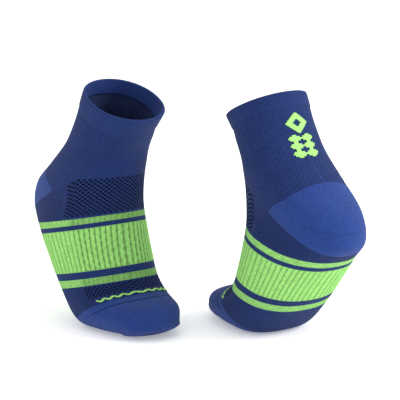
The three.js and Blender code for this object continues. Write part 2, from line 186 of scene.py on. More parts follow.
class NodeKit:
    """Short hands for laying nodes in a tree.

    A Mix node's colour sockets share their names with its other sockets, so they go by number.
    """

    MIX_LOW = 6
    MIX_HIGH = 7
    MIX_RESULT = 2
    NOISE_ROUGHNESS = 0.55

    def __init__(self, tree: bpy.types.NodeTree) -> None:
        """Takes the tree to lay nodes in.

        Args:
            tree: the material's or the group's node tree.
        """
        self.tree = tree

    def add(self, kind: str, **values: object) -> bpy.types.Node:
        """Adds a node and sets its properties.

        Args:
            kind: the node's type name.
            values: properties of the node.

        Returns:
            The new node.
        """
        node = self.tree.nodes.new(kind)
        for name, value in values.items():
            setattr(node, name, value)
        return node

    def plug(self, value: object, socket: bpy.types.NodeSocket) -> None:
        """Links a socket to another, or sets it to a plain value.

        Args:
            value: the socket to link from, or the plain value.
            socket: the input socket.
        """
        if isinstance(value, bpy.types.NodeSocket):
            self.tree.links.new(value, socket)
        else:
            socket.default_value = value

    def math(self, operation: str, *terms: object) -> bpy.types.NodeSocket:
        """Adds a Math node.

        Args:
            operation: the Math node's operation.
            terms: up to three sockets or numbers.

        Returns:
            The result socket.
        """
        node = self.add("ShaderNodeMath", operation=operation)
        for socket, term in zip(node.inputs, terms):
            self.plug(term, socket)
        return node.outputs[0]

    def mix(self, factor: object, low: object, high: object) -> bpy.types.NodeSocket:
        """Mixes two colours.

        Args:
            factor: the second colour's share, as a socket or a number.
            low: the first colour.
            high: the second colour.

        Returns:
            The result socket.
        """
        node = self.add("ShaderNodeMix", data_type="RGBA", clamp_factor=True)
        self.plug(factor, node.inputs["Factor"])
        self.plug(low, node.inputs[self.MIX_LOW])
        self.plug(high, node.inputs[self.MIX_HIGH])
        return node.outputs[self.MIX_RESULT]

    def noise(self, vector: bpy.types.NodeSocket, scale: float, detail: float) -> bpy.types.NodeSocket:
        """Adds a noise texture.

        Args:
            vector: where the noise is read.
            scale: its scale.
            detail: its detail.

        Returns:
            The socket of its value, from 0 to 1.
        """
        node = self.add("ShaderNodeTexNoise")
        self.plug(vector, node.inputs["Vector"])
        node.inputs["Scale"].default_value = scale
        node.inputs["Detail"].default_value = detail
        node.inputs["Roughness"].default_value = self.NOISE_ROUGHNESS
        return node.outputs["Fac"]


class KnitShading:
    """The two node groups that every knitted finish shares, and the materials made from them."""

    LEG_SLANT = 0.85
    LEG_ROUNDNESS = 0.6
    LOOP_ROUNDNESS = 0.7
    LOOP_RISE = 0.65
    GAP_SHADE_SHARPNESS = 1.6
    MOTTLE_SCALE = 46.0
    FLECK_SCALE = 900.0
    FIBRE_SCALE = 2600.0
    FINE_SHARE = 0.8
    FLECK_RANGE = (0.46, 0.62)
    ROUGHNESS_SWING = 0.12
    SPECULAR = 0.14
    SHEEN_ROUGHNESS = 0.45
    FIBRE_PALENESS = 0.35
    FIBRE_HEIGHT = 0.18
    BUMP_STRENGTH = 0.85

    def __init__(self) -> None:
        """Builds both groups once."""
        self.stitch_group = self._stitch_group()
        self.yarn_group = self._yarn_group()
        self.made: dict[str, bpy.types.Material] = {}

    @staticmethod
    def _new_group(name: str, inputs: dict[str, str], outputs: dict[str, str]) -> bpy.types.NodeTree:
        """Makes an empty group with named sockets.

        Args:
            name: the group's name.
            inputs: socket types by name.
            outputs: socket types by name.

        Returns:
            The group.
        """
        group = bpy.data.node_groups.new(name, "ShaderNodeTree")
        for label, kind in inputs.items():
            group.interface.new_socket(name=label, in_out="INPUT", socket_type=kind)
        for label, kind in outputs.items():
            group.interface.new_socket(name=label, in_out="OUTPUT", socket_type=kind)
        return group

    def _stitch_group(self) -> bpy.types.NodeTree:
        """Rows of slanted stitch legs, two to a wale: their height, and the painted shade in the gap
        between them.

        Returns:
            The group.
        """
        group = self._new_group(
            "knit_stitches",
            {"Wale and course": "NodeSocketVector"},
            {"Height": "NodeSocketFloat", "Gap shade": "NodeSocketFloat"},
        )
        kit = NodeKit(group)
        source = kit.add("NodeGroupInput")
        split = kit.add("ShaderNodeSeparateXYZ")
        kit.plug(source.outputs[0], split.inputs[0])
        across = kit.math("SUBTRACT", kit.math("FRACT", split.outputs["X"]), 0.5)
        out = kit.math("ABSOLUTE", across)
        climb = kit.math("MULTIPLY_ADD", out, self.LEG_SLANT, split.outputs["Y"])
        along = kit.math("SINE", kit.math("MULTIPLY", kit.math("FRACT", climb), math.pi))
        round_leg = kit.math("SINE", kit.math("MULTIPLY", out, 2 * math.pi))
        soft_round = kit.math("POWER", kit.math("MAXIMUM", round_leg, 0.0), self.LEG_ROUNDNESS)
        soft_along = kit.math("POWER", along, self.LOOP_ROUNDNESS)
        loop = kit.math("MULTIPLY_ADD", soft_along, self.LOOP_RISE, 1 - self.LOOP_RISE)
        height = kit.math("MULTIPLY", soft_round, loop)
        gap = kit.math("SUBTRACT", 1.0, height)
        target = kit.add("NodeGroupOutput")
        kit.plug(height, target.inputs["Height"])
        kit.plug(kit.math("POWER", gap, self.GAP_SHADE_SHARPNESS), target.inputs["Gap shade"])
        return group

    def _yarn_group(self) -> bpy.types.NodeTree:
        """What changes from place to place in a yarn: broad mottling, ground-yarn flecks and fibres.

        Returns:
            The group.
        """
        group = self._new_group(
            "yarn_variation",
            {"Mottle": "NodeSocketFloat", "Melange": "NodeSocketFloat"},
            {"Tint": "NodeSocketFloat", "Fleck": "NodeSocketFloat", "Fibre": "NodeSocketFloat"},
        )
        kit = NodeKit(group)
        source = kit.add("NodeGroupInput")
        place = kit.add("ShaderNodeTexCoord").outputs["Object"]
        broad = kit.noise(place, self.MOTTLE_SCALE, 3.0)
        fine = kit.noise(place, self.FLECK_SCALE, 2.0)
        fibre = kit.noise(place, self.FIBRE_SCALE, 1.0)
        both = kit.math("ADD", broad, kit.math("MULTIPLY", fine, self.FINE_SHARE))
        swing = kit.math("SUBTRACT", both, (1 + self.FINE_SHARE) / 2)
        tint = kit.math("MULTIPLY_ADD", swing, kit.math("MULTIPLY", source.outputs[0], 2.0), 1.0)
        speck = kit.add("ShaderNodeMapRange", interpolation_type="SMOOTHSTEP")
        kit.plug(fine, speck.inputs["Value"])
        speck.inputs["From Min"].default_value = self.FLECK_RANGE[0]
        speck.inputs["From Max"].default_value = self.FLECK_RANGE[1]
        target = kit.add("NodeGroupOutput")
        kit.plug(tint, target.inputs["Tint"])
        kit.plug(kit.math("MULTIPLY", speck.outputs[0], source.outputs[1]), target.inputs["Fleck"])
        kit.plug(fibre, target.inputs["Fibre"])
        return group

    def material(self, finish: KnitFinish) -> bpy.types.Material:
        """The material of a finish, made once.

        Args:
            finish: the knitted finish.

        Returns:
            Its material.
        """
        if finish.name in self.made:
            return self.made[finish.name]
        material = bpy.data.materials.new(finish.name)
        material.use_nodes = True
        kit = NodeKit(material.node_tree)
        shader = material.node_tree.nodes["Principled BSDF"]
        grid = kit.add("ShaderNodeUVMap", uv_map=STITCH_MAP)
        stitches = kit.add("ShaderNodeGroup", node_tree=self.stitch_group)
        kit.plug(grid.outputs[0], stitches.inputs[0])
        yarn = kit.add("ShaderNodeGroup", node_tree=self.yarn_group)
        yarn.inputs["Mottle"].default_value = finish.mottle
        yarn.inputs["Melange"].default_value = finish.melange
        tone = kit.add("ShaderNodeAttribute", attribute_name=TONE)
        # Painted shade: the base colour turns to the darker gap colour between the stitch legs, and at
        # the ground-yarn flecks.
        painted_gap_shade = kit.math("MULTIPLY", stitches.outputs["Gap shade"], finish.gap_shade_strength)
        gap_shade_and_fleck = kit.math("MAXIMUM", painted_gap_shade, yarn.outputs["Fleck"])
        colour = kit.mix(gap_shade_and_fleck, (*finish.yarn, 1.0), (*finish.gap, 1.0))
        strength = kit.math("MULTIPLY", yarn.outputs["Tint"], tone.outputs["Fac"])
        shaded = kit.add("ShaderNodeVectorMath", operation="SCALE")
        kit.plug(colour, shaded.inputs[0])
        kit.plug(strength, shaded.inputs["Scale"])
        kit.plug(shaded.outputs[0], shader.inputs["Base Color"])
        smoothest = finish.roughness - self.ROUGHNESS_SWING / 2
        rough = kit.math("MULTIPLY_ADD", yarn.outputs["Fibre"], self.ROUGHNESS_SWING, smoothest)
        kit.plug(rough, shader.inputs["Roughness"])
        shader.inputs["Specular IOR Level"].default_value = self.SPECULAR
        shader.inputs["Sheen Weight"].default_value = finish.sheen
        shader.inputs["Sheen Roughness"].default_value = self.SHEEN_ROUGHNESS
        shader.inputs["Sheen Tint"].default_value = (*self._lift(finish.yarn), 1.0)
        fibre, stitch = yarn.outputs["Fibre"], stitches.outputs["Height"]
        height = kit.math("MULTIPLY_ADD", fibre, self.FIBRE_HEIGHT, stitch)
        bump = kit.add("ShaderNodeBump")
        bump.inputs["Strength"].default_value = self.BUMP_STRENGTH
        bump.inputs["Distance"].default_value = finish.stitch_depth * MM
        kit.plug(height, bump.inputs["Height"])
        kit.plug(bump.outputs[0], shader.inputs["Normal"])
        self.made[finish.name] = material
        return material

    def _lift(self, yarn: tuple[float, float, float]) -> tuple[float, ...]:
        """The paler colour of loose fibre ends over a yarn."""
        pale = self.FIBRE_PALENESS
        return tuple(pale + (1 - pale) * channel**0.5 for channel in yarn)


# ---------------------------------------------------------------------------------------------
# The limb
# ---------------------------------------------------------------------------------------------


@dataclass(frozen=True)
class Section:
    """One section of the limb, in millimetres: its front and back points, width and squareness."""

    front: tuple[float, float]
    back: tuple[float, float]
    width: float
    square: float


SECTIONS = (
    Section((76, 205), (1, 235), 75, 2.1),
    Section((62, 190), (-5, 221), 75, 2.1),
    Section((53, 179), (-13, 201), 78, 2.1),
    Section((47, 170), (-30, 175), 80, 2.1),
    Section((46, 159), (-61, 148), 83, 2.1),
    Section((45, 144), (-89, 125), 85, 2.1),
    Section((42, 127), (-95, 101), 85, 2.2),
    Section((34, 107), (-75, 81), 96, 2.2),
    Section((37, 79), (-52, 56), 96, 2.3),
    Section((48, 48), (-28, 28), 95, 2.3),
    Section((61, 36), (3, 1), 93, 2.5),
    Section((87, 28), (34, -2), 80, 2.5),
    Section((101, 15), (60, -1), 58, 2.3),
)
TOE_TIP = np.array((88.0, 2.5))
GORE_SECTION = 5
BALL_SECTION = 9


@dataclass
class Limb:
    """The smooth surface that the zones lie on, in one sock's own frame, in millimetres.

    Slip is how far the cuff has slid down the leg, at the front and at the back.
    """

    front_slip: float = 0.0
    back_slip: float = 0.0
    slip_reach: float = 60.0
    slip_direction: tuple[float, float] = (-0.55, -0.83)
    sole_turn: float = 3.0
    stations: Array = field(init=False)
    tip_distance: float = field(init=False)

    def __post_init__(self) -> None:
        """Measures the centre line."""
        ends = np.array([(*s.front, *s.back, s.width, s.square) for s in SECTIONS], float)
        centres = (ends[:, 0:2] + ends[:, 2:4]) / 2
        steps = np.hypot(*np.diff(centres, axis=0).T)
        self.stations = np.concatenate([[0.0], np.cumsum(steps)])
        self.tip_distance = float(self.stations[-1] + np.hypot(*(TOE_TIP - centres[-1])))
        before = 2 * ends[0] - ends[1]
        beyond = 2 * ends[-1] - ends[-2]
        self._ends = np.vstack([before, ends, beyond])

    def _section(self, distance: Array) -> tuple[Array, Array, Array, Array]:
        """The section at each distance, on a smooth curve through the sections.

        Args:
            distance: along the centre line from the rim, in millimetres.

        Returns:
            Its middle, its half depth, its half width and its squareness.
        """
        last = len(SECTIONS) - 1
        index = np.clip(np.searchsorted(self.stations, distance, side="right") - 1, 0, last - 1)
        span = self.stations[index + 1] - self.stations[index]
        share = ((distance - self.stations[index]) / span)[..., None]
        a, b, c, d = (self._ends[index + step] for step in range(4))
        cubic = (-a + 3 * b - 3 * c + d) * share**3
        square = (2 * a - 5 * b + 4 * c - d) * share**2
        row = 0.5 * (2 * b + (c - a) * share + square + cubic)
        middle = (row[..., 0:2] + row[..., 2:4]) / 2
        depth = (row[..., 0:2] - row[..., 2:4]) / 2
        half = row[..., 4] / 2
        power = row[..., 5]
        return self._close_toe(distance, middle, depth, half, power)

    def _close_toe(
        self, distance: Array, middle: Array, depth: Array, half: Array, power: Array
    ) -> tuple[Array, Array, Array, Array]:
        """Past the last section the toe closes in a quarter ellipse.

        Args:
            distance: along the centre line, in millimetres.
            middle: the sections' middles.
            depth: their half depths.
            half: their half widths.
            power: their squareness.

        Returns:
            The same four, with the toe closed.
        """
        end = self._ends[-2]
        end_middle = (end[0:2] + end[2:4]) / 2
        end_depth = (end[0:2] - end[2:4]) / 2
        start = self.stations[-1]
        share = np.clip((distance - start) / (self.tip_distance - start), 0, 1) * math.pi / 2
        past = distance >= start
        shrink = np.cos(share)
        drift = end_middle + (TOE_TIP - end_middle) * np.sin(share)[..., None]
        middle = np.where(past[..., None], drift, middle)
        depth = np.where(past[..., None], end_depth * shrink[..., None], depth)
        half = np.where(past, end[4] / 2 * shrink, half)
        return middle, depth, half, np.where(past, end[5], power)

    def point(self, distance: Array, angle: Array) -> Array:
        """Points of the outer surface.

        Args:
            distance: along the centre line from the rim, in millimetres.
            angle: round the limb, in degrees.

        Returns:
            An array of points, with the last axis x, y, z.
        """
        distance, angle = np.broadcast_arrays(np.asarray(distance, float), np.asarray(angle, float))
        middle, depth, half, power = self._section(distance)
        turn = np.radians(angle)
        bulge = 2 / power
        forward = np.sign(np.cos(turn)) * np.abs(np.cos(turn)) ** bulge
        sideways = np.sign(np.sin(turn)) * np.abs(np.sin(turn)) ** bulge
        x = middle[..., 0] + depth[..., 0] * forward
        z = self._rest_on_ground(middle[..., 1] + depth[..., 1] * forward)
        slid = np.clip(1 - distance / self.slip_reach, 0, None) ** 2
        facing = (1 + np.cos(turn)) / 2
        slid = slid * (self.back_slip + (self.front_slip - self.back_slip) * facing)
        x = x + slid * self.slip_direction[0]
        z = z + slid * self.slip_direction[1]
        return np.stack([x, half * sideways, z], axis=-1)

    def _rest_on_ground(self, z: Array) -> Array:
        """Presses the sole flat, with a soft turn at its edge.

        Args:
            z: heights over the ground, in millimetres.

        Returns:
            The pressed heights.
        """
        soft = self.sole_turn
        turned = np.clip(z + soft, 0, None) ** 2 / (4 * soft)
        return np.where(z > soft, z, np.where(z < -soft, 0.0, turned))

    def normal(self, distance: Array, angle: Array) -> Array:
        """Unit vectors out of the surface.

        Args:
            distance: along the centre line from the rim, in millimetres.
            angle: round the limb, in degrees.

        Returns:
            An array of vectors, with the last axis x, y, z.
        """
        reach, swing, short_of_tip = 0.6, 1.5, 1.5
        near = np.minimum(distance, self.tip_distance - short_of_tip)
        along = self.point(near + reach, angle) - self.point(near - reach, angle)
        around = self.point(near, angle + swing) - self.point(near, angle - swing)
        out = np.cross(along, around)
        return out / np.linalg.norm(out, axis=-1, keepdims=True)

    def run(self, distance: Array, angle: float) -> Array:
        """How far it is over the surface from the first distance to each, down one angle.

        Args:
            distance: along the centre line from the rim, in millimetres.
            angle: round the limb, in degrees.

        Returns:
            The lengths, in millimetres.
        """
        path = self.point(distance, np.full(len(distance), angle))
        steps = np.linalg.norm(np.diff(path, axis=0), axis=1)
        return np.concatenate([[0.0], np.cumsum(steps)])


# ---------------------------------------------------------------------------------------------
# Where the zones meet
# ---------------------------------------------------------------------------------------------


def from_front(angle: Array) -> Array:
    """Degrees from the front, either way round."""
    turned = np.mod(angle, 360)
    return np.minimum(turned, 360 - turned)


def smooth_step(value: Array, low: float, high: float) -> Array:
    """0 below low, 1 above high, and a smooth ramp between."""
    share = np.clip((value - low) / (high - low), 0, 1)
    return share * share * (3 - 2 * share)


def furrow(column: Array) -> Array:
    """1 on the crest of each wale, and -1 in the gap beside it."""
    return np.where(np.mod(column, 2) < 1, 1.0, -1.0)


Line = Callable[[Array], Array]


@dataclass
class Layout:
    """The lines between the zones, each a distance down the sock for a column of half wales."""

    limb: Limb
    welt_depth: float = 19.0
    vent_length: float = 47.0
    vent_chamfer: float = 9.0
    split_gap: float = 12.0
    split_steepness: float = 3.0
    vent_angle: float = 75.0
    chamfer_angle: float = 15.0
    heel_rise: float = 38.0
    heel_drop: float = 23.0
    heel_fullness: float = 0.75
    gore_setback: float = 8.0
    gore_dip: float = 2.0
    gore_angle: float = 90.0
    gore_to_stripe: float = 31.0
    upper_green: float = 6.0
    upper_blue: float = 5.0
    lower_blue: float = 7.0
    lower_green: float = 8.0
    forefoot_length: float = 30.0
    motif_strip: float = 9.0
    forefoot_angle: float = 67.5
    toe_band: float = 9.0
    toe_angle: float = 82.5
    seam_width: float = 1.6
    interlock: float = 0.2

    def __post_init__(self) -> None:
        """Works out the straight lines."""
        self.gore = float(self.limb.stations[GORE_SECTION]) + self.gore_setback
        self.ball = float(self.limb.stations[BALL_SECTION])
        self.stripe_top = self.gore + self.gore_to_stripe
        self.stripe_middle = self.stripe_top + self.upper_green
        self.arch_top = self.stripe_middle + self.upper_blue
        self.lower_middle = self.ball - self.lower_green
        self.arch_bottom = self.lower_middle - self.lower_blue
        self.toe_line = self.ball + self.forefoot_length
        self.toe_seam = self.toe_line + self.toe_band

    def stepped(self, distance: float) -> Line:
        """A straight line round the sock where two yarns interlock stitch by stitch."""
        return lambda column: distance + self.interlock * furrow(column)

    def plain(self, distance: float) -> Line:
        """A straight line round the sock."""
        return lambda column: np.full(np.shape(column), distance)

    def _turn(self, column: Array) -> Array:
        """Degrees from the front of each column."""
        return from_front(np.asarray(column) * DEGREES_PER_COLUMN)

    def _heel_share(self, column: Array) -> Array:
        """0 at the gore corners and 1 at the middle of the back."""
        return np.clip((self._turn(column) - self.gore_angle) / (180 - self.gore_angle), 0, 1)

    def _pocket_swell(self, column: Array) -> Array:
        """The same, but rising steeply from the corners and levelling off at the back."""
        return np.sin(math.pi / 2 * self._heel_share(column)) ** self.heel_fullness

    def vent_top(self, column: Array) -> Array:
        """The ankle vent's top edge, and its level carried on round the leg.

        Args:
            column: the half wales.

        Returns:
            The distance down the sock at each.
        """
        turn = self._turn(column)
        cut = np.clip((turn - (self.vent_angle - self.chamfer_angle)) / self.chamfer_angle, 0, 1)
        carried = np.clip((turn - self.vent_angle) / (180 - self.vent_angle), 0, 1)
        top = self.stripe_top - self.vent_length
        level = top + self.vent_chamfer * cut
        split = self.heel_top(column) - self.split_gap
        turned = np.minimum(self.split_steepness * carried, 1)
        return level + (np.minimum(split, level) - level) * turned

    def heel_top(self, column: Array) -> Array:
        """The heel pocket's upper edge."""
        return self.gore - self.heel_rise * self._pocket_swell(column)

    def heel_middle(self, column: Array) -> Array:
        """The gore line between the heel pocket's two halves."""
        return self.gore + self.gore_dip * self._heel_share(column)

    def heel_bottom(self, column: Array) -> Array:
        """The heel pocket's lower edge."""
        return self.gore + self.heel_drop * self._pocket_swell(column)


# ---------------------------------------------------------------------------------------------
# Shells
# ---------------------------------------------------------------------------------------------


@dataclass
class Patch:
    """The grid of one wall: both faces, stitch coordinates, tone, and which cells are knitted."""

    face: Array
    reverse: Array
    wale: Array
    course: Array
    tone: Array
    cells: Array
    outline: Array
    round_column: bool = False
    side_layer: Layer = Layer.FACE

    WELD = 1e-7

    def corners(self) -> tuple[Array, Array]:
        """Row and column of each knitted cell."""
        return np.nonzero(self.cells)

    def _walls(self) -> list[tuple[Array, Array, Array, Array]]:
        """The edges where knitted cells end.

        Returns:
            For each of the four sides of a cell, the row and column of the edges' two ends.
        """
        rows, columns = self.cells.shape
        grown = np.zeros((rows + 2, columns + 2), bool)
        grown[1:-1, 1:-1] = self.cells
        if self.round_column:
            grown[1:-1, 0] = self.cells[:, -1]
            grown[1:-1, -1] = self.cells[:, 0]
        found = []
        for step, start, end in (
            ((-1, 0), (0, 0), (0, 1)),
            ((1, 0), (1, 1), (1, 0)),
            ((0, -1), (1, 0), (0, 0)),
            ((0, 1), (0, 1), (1, 1)),
        ):
            beside = grown[1 + step[0] : rows + 1 + step[0], 1 + step[1] : columns + 1 + step[1]]
            row, column = np.nonzero(self.cells & ~beside)
            found.append((row + start[0], column + start[1], row + end[0], column + end[1]))
        return found

    def _faces(self) -> tuple[Array, Array, Array, Array]:
        """Every quad of the two faces and of the walls between them.

        Returns:
            The layers, rows and columns at the four corners, and the material.
        """
        row, column = self.corners()
        quads = []
        orders = {Layer.FACE.value: (0, 3, 2, 1), Layer.REVERSE.value: (0, 1, 2, 3)}
        for layer, order in orders.items():
            rows = np.stack([row, row, row + 1, row + 1], axis=1)[:, order]
            columns = np.stack([column, column + 1, column + 1, column], axis=1)[:, order]
            quads.append((np.full(rows.shape, layer), rows, columns, np.full(len(row), layer)))
        wall_layers = [Layer.FACE.value] * 2 + [Layer.REVERSE.value] * 2
        for start_row, start_column, end_row, end_column in self._walls():
            layers = np.tile(wall_layers, (len(start_row), 1))
            rows = np.stack([start_row, end_row, end_row, start_row], axis=1)
            columns = np.stack([start_column, end_column, end_column, start_column], axis=1)
            quads.append((layers, rows, columns, np.full(len(start_row), self.side_layer.value)))
        return tuple(np.concatenate(parts) for parts in zip(*quads))

    def build(self, name: str, materials: list[bpy.types.Material]) -> bpy.types.Object:
        """Makes the closed mesh.

        Args:
            name: the piece's name.
            materials: of the face and of the reverse.

        Returns:
            The object, in place.
        """
        layer, row, column, finish = self._faces()
        rows, columns = self.face.shape[:2]
        key = (layer * rows + np.mod(row, rows)) * columns + np.mod(column, columns)
        points = np.concatenate([self.face.reshape(-1, 3), self.reverse.reshape(-1, 3)])
        tones = np.concatenate([self.tone.ravel(), self.tone.ravel()])
        used, inverse = np.unique(key.ravel(), return_inverse=True)
        grid = np.round(points[used] / self.WELD).astype(np.int64)
        _, first, merged = np.unique(grid, axis=0, return_index=True, return_inverse=True)
        corner = merged.ravel()[inverse.ravel()].reshape(key.shape)
        stitch = np.stack([self._wale_at(row, column), self._course_at(row, column)], axis=-1)
        doubled = corner == np.roll(corner, -1, axis=1)
        keep = ~doubled
        counts = keep.sum(axis=1)
        sound = (counts >= 3) & (corner[:, 0] != corner[:, 2]) & (corner[:, 1] != corner[:, 3])
        keep = keep[sound]
        faces = [list(quad[kept]) for quad, kept in zip(corner[sound], keep)]
        mesh = bpy.data.meshes.new(name)
        mesh.from_pydata(points[used][first], [], faces)
        for material in materials:
            mesh.materials.append(material)
        mesh.polygons.foreach_set("material_index", finish[sound].astype(np.int32))
        return finished(mesh, stitch[sound][keep], tones[used][first])

    def _wale_at(self, row: Array, column: Array) -> Array:
        """The wale coordinate, carried past the last column of a ring.

        Args:
            row: rows of grid corners.
            column: their columns.

        Returns:
            The coordinate at each.
        """
        wrapped = np.where(column >= self.wale.shape[1], 1, 0) if self.round_column else 0
        value = self.wale[np.mod(row, self.wale.shape[0]), np.mod(column, self.wale.shape[1])]
        return value + wrapped * self.wale.shape[1] / 2

    def _course_at(self, row: Array, column: Array) -> Array:
        """The course coordinate at grid corners."""
        return self.course[np.mod(row, self.course.shape[0]), np.mod(column, self.course.shape[1])]


def finished(mesh: bpy.types.Mesh, stitch: Array, tone: Array) -> bpy.types.Object:
    """Gives a mesh its stitch coordinates and its tone, and puts it in the scene.

    Args:
        mesh: the mesh, with its faces and materials.
        stitch: the wale and course at every corner of every face.
        tone: the tone at every point.

    Returns:
        The piece.
    """
    layer = mesh.uv_layers.new(name=STITCH_MAP)
    layer.data.foreach_set("uv", stitch.astype(np.float32).ravel())
    shade = mesh.attributes.new(TONE, "FLOAT", "POINT")
    shade.data.foreach_set("value", tone.astype(np.float32).ravel())
    mesh.update()
    piece = bpy.data.objects.new(mesh.name, mesh)
    bpy.context.scene.collection.objects.link(piece)
    smooth(piece)
    return piece


def smooth(piece: bpy.types.Object) -> None:
    """Shades a piece smooth, but not over its cut edges.

    Args:
        piece: the piece.
    """
    bpy.ops.object.select_all(action="DESELECT")
    piece.select_set(True)
    bpy.context.view_layer.objects.active = piece
    bpy.ops.object.shade_smooth_by_angle(angle=math.radians(SHARPEST_SMOOTH_EDGE))
    bpy.ops.object.select_all(action="DESELECT")


# ---------------------------------------------------------------------------------------------
# Zones
# ---------------------------------------------------------------------------------------------


@dataclass
class Weave:
    """What a zone's relief and tone are worked out from, on its grid of corners."""

    column: Array
    angle: Array
    distance: Array
    run: Array
    row: Array
    edge: Array


@dataclass(frozen=True)
class Ripple:
    """A slow wave in the cloth: how high it is, and how it runs round and down the sock."""

    height: float
    per_degree: float
    per_millimetre: float
    phase: float = 0.0

    def at(self, weave: Weave) -> Array:
        """The wave's height at each corner."""
        turn = weave.angle * self.per_degree + weave.distance * self.per_millimetre + self.phase
        return self.height * np.sin(turn)


@dataclass(frozen=True)
class RibShape:
    """The arch band's ribs and slits, in millimetres, and their sway in half wales."""

    crest: float = 0.34
    depth: float = 0.62
    slit_depth: float = 0.38
    slit_spacing: float = 7.6
    sway: float = 0.42
    sharpness: float = 4.0
    slit_range: tuple[float, float] = (-0.5, 0.4)


Relief = Callable[[Weave], Array]
COURSE = 0.95
WALE_RELIEF = 0.045
BROAD_RIPPLE = Ripple(0.10, 0.071, 0.043)
FINE_RIPPLE = Ripple(0.06, 0.163, -0.091, 1.7)
RIB_COLUMNS = 6
RIBS = RibShape()
RIB_INSTEP = (52, 66)
STRIPE_INSTEP = (48, 62)
STRIPE_TONE_INSTEP = (58, 66)
STRIPE_RIB_DEPTH = 0.22
BACK_LINE_START = (52, 58)
BACK_LINE_HEIGHT = 0.16
BACK_LINE_PALENESS = 0.45
TERRY_FULLNESS = 0.12
SEAM_HEIGHT = 0.34
SEAM_LOOPS = 0.10
TWILL_COLUMNS = 7
TWILL_RUN = 3.6
FURROW_PAINTED_SHADE = 0.05
RIB_CREST_TONE = 1.08
RIB_INSTEP_LOSS = 0.04
RIB_GROOVE_LOSS = 0.62
RIB_GROOVE_INSTEP_LOSS = 0.12
RIB_GROOVE_RANGE = (-0.32, 0.30)
STRIPE_INSTEP_LOSS = 0.22
STRIPE_GROOVE_PAINTED_SHADE = 0.26
JOIN_TONE = 0.84
JOIN_FADE = 0.16
SOLE_TONE = 0.90
SOLE_GAIN = 0.10
PINHOLE_TONE = 0.35
ROUND_PINHOLE_TONE = 1.08


def over_instep(weave: Weave, start: float, end: float) -> Array:
    """1 over the instep, easing to 0 between two angles from the front."""
    return 1 - smooth_step(from_front(weave.angle), start, end)


def rib_valley(column: Array) -> Array:
    """0 on the crest of each rib, and 1 in the groove between two."""
    return np.abs(np.mod(column / RIB_COLUMNS, 1) - 0.5) * 2


def back_line(weave: Weave, width: float) -> Array:
    """1 on the line of transferred stitches down the middle of the back, and 0 off it."""
    off = np.abs(weave.angle - 180)
    return np.exp(-((off / width) ** 2)) * smooth_step(weave.distance, *BACK_LINE_START)


def jersey(weave: Weave) -> Array:
    """Plain knit: each wale stands a hair above the gap beside it, over a slightly uneven ground."""
    ground = BROAD_RIPPLE.at(weave) + FINE_RIPPLE.at(weave)
    return WALE_RELIEF * furrow(weave.column) + ground


def arch_ribs(weave: Weave) -> Array:
    """Ribs three wales wide. Over the instep they weave from side to side round staggered slits.

    Args:
        weave: the zone's grid.

    Returns:
        The height over the limb at each corner, in millimetres.
    """
    instep = over_instep(weave, *RIB_INSTEP)
    rib_index = np.floor(weave.column / RIB_COLUMNS)
    wave = np.sin(2 * math.pi * weave.run / RIBS.slit_spacing + math.pi * np.mod(rib_index, 2))
    groove = rib_valley(weave.column + RIBS.sway * instep * wave) ** RIBS.sharpness
    slit = 0.5 + 0.5 * smooth_step(wave, *RIBS.slit_range)
    depth = RIBS.depth + instep * RIBS.slit_depth * slit
    return jersey(weave) + (RIBS.crest - depth * groove) * weave.edge


def stripe_ribs(weave: Weave) -> Array:
    """Faint ribs where the instep's ribbing runs on through the stripes."""
    valley = over_instep(weave, *STRIPE_INSTEP) * weave.edge * rib_valley(weave.column) ** 3
    return jersey(weave) - STRIPE_RIB_DEPTH * valley


def centre_back(weave: Weave) -> Array:
    """Plain knit with the fine line of transferred stitches down the middle of the back."""
    return jersey(weave) + BACK_LINE_HEIGHT * back_line(weave, 1.1)


def terry(weave: Weave) -> Array:
    """The heel's and toe's padded knit, a little fuller than the cloth round it."""
    return jersey(weave) + TERRY_FULLNESS * weave.edge


def link_seam(weave: Weave) -> Array:
    """A raised row of linked loops."""
    loops = SEAM_LOOPS * np.sin(weave.column * math.pi / 2)
    return (SEAM_HEIGHT + loops) * weave.edge


def stitched(weave: Weave, uneven: float = 0.15, twill: float = 0.11) -> Array:
    """Stitches that differ a little from each other, with the faint slant of a knitted ground, and
    painted shade in the gap beside each wale.

    Args:
        weave: the zone's grid.
        uneven: how much the stitches differ.
        twill: how strong the slant is.

    Returns:
        The tone at each corner.
    """
    seed = int(1000 * float(weave.distance[0, 0])) + len(weave.distance)
    scatter = np.random.default_rng(seed).standard_normal(weave.column.shape)
    slant = np.sin(2 * math.pi * (weave.column / TWILL_COLUMNS + weave.run / TWILL_RUN))
    # Painted shade: darker in the gap beside each wale, lighter on its crest.
    ground = FURROW_PAINTED_SHADE * furrow(weave.column)
    return 1 + uneven * np.clip(scatter, -2, 2) + twill * slant + ground


def even(weave: Weave) -> Array:
    """One tone all over, but for the stitches."""
    return stitched(weave)


def back_tone(weave: Weave) -> Array:
    """Plain stitches, with the transferred line down the back a little paler."""
    return stitched(weave) * (1 + BACK_LINE_PALENESS * back_line(weave, 0.9))


def rib_tone(weave: Weave) -> Array:
    """The rib's grooves lose light, and the instep shows more of the ground yarn.

    Args:
        weave: the zone's grid.

    Returns:
        The tone at each corner.
    """
    instep = over_instep(weave, *RIB_INSTEP)
    relief = arch_ribs(weave) - jersey(weave)
    groove = smooth_step(-relief, *RIB_GROOVE_RANGE)
    lost = RIB_GROOVE_LOSS + RIB_GROOVE_INSTEP_LOSS * instep
    light = RIB_CREST_TONE - instep * RIB_INSTEP_LOSS - lost * groove
    return stitched(weave, uneven=0.12, twill=0.0) * light


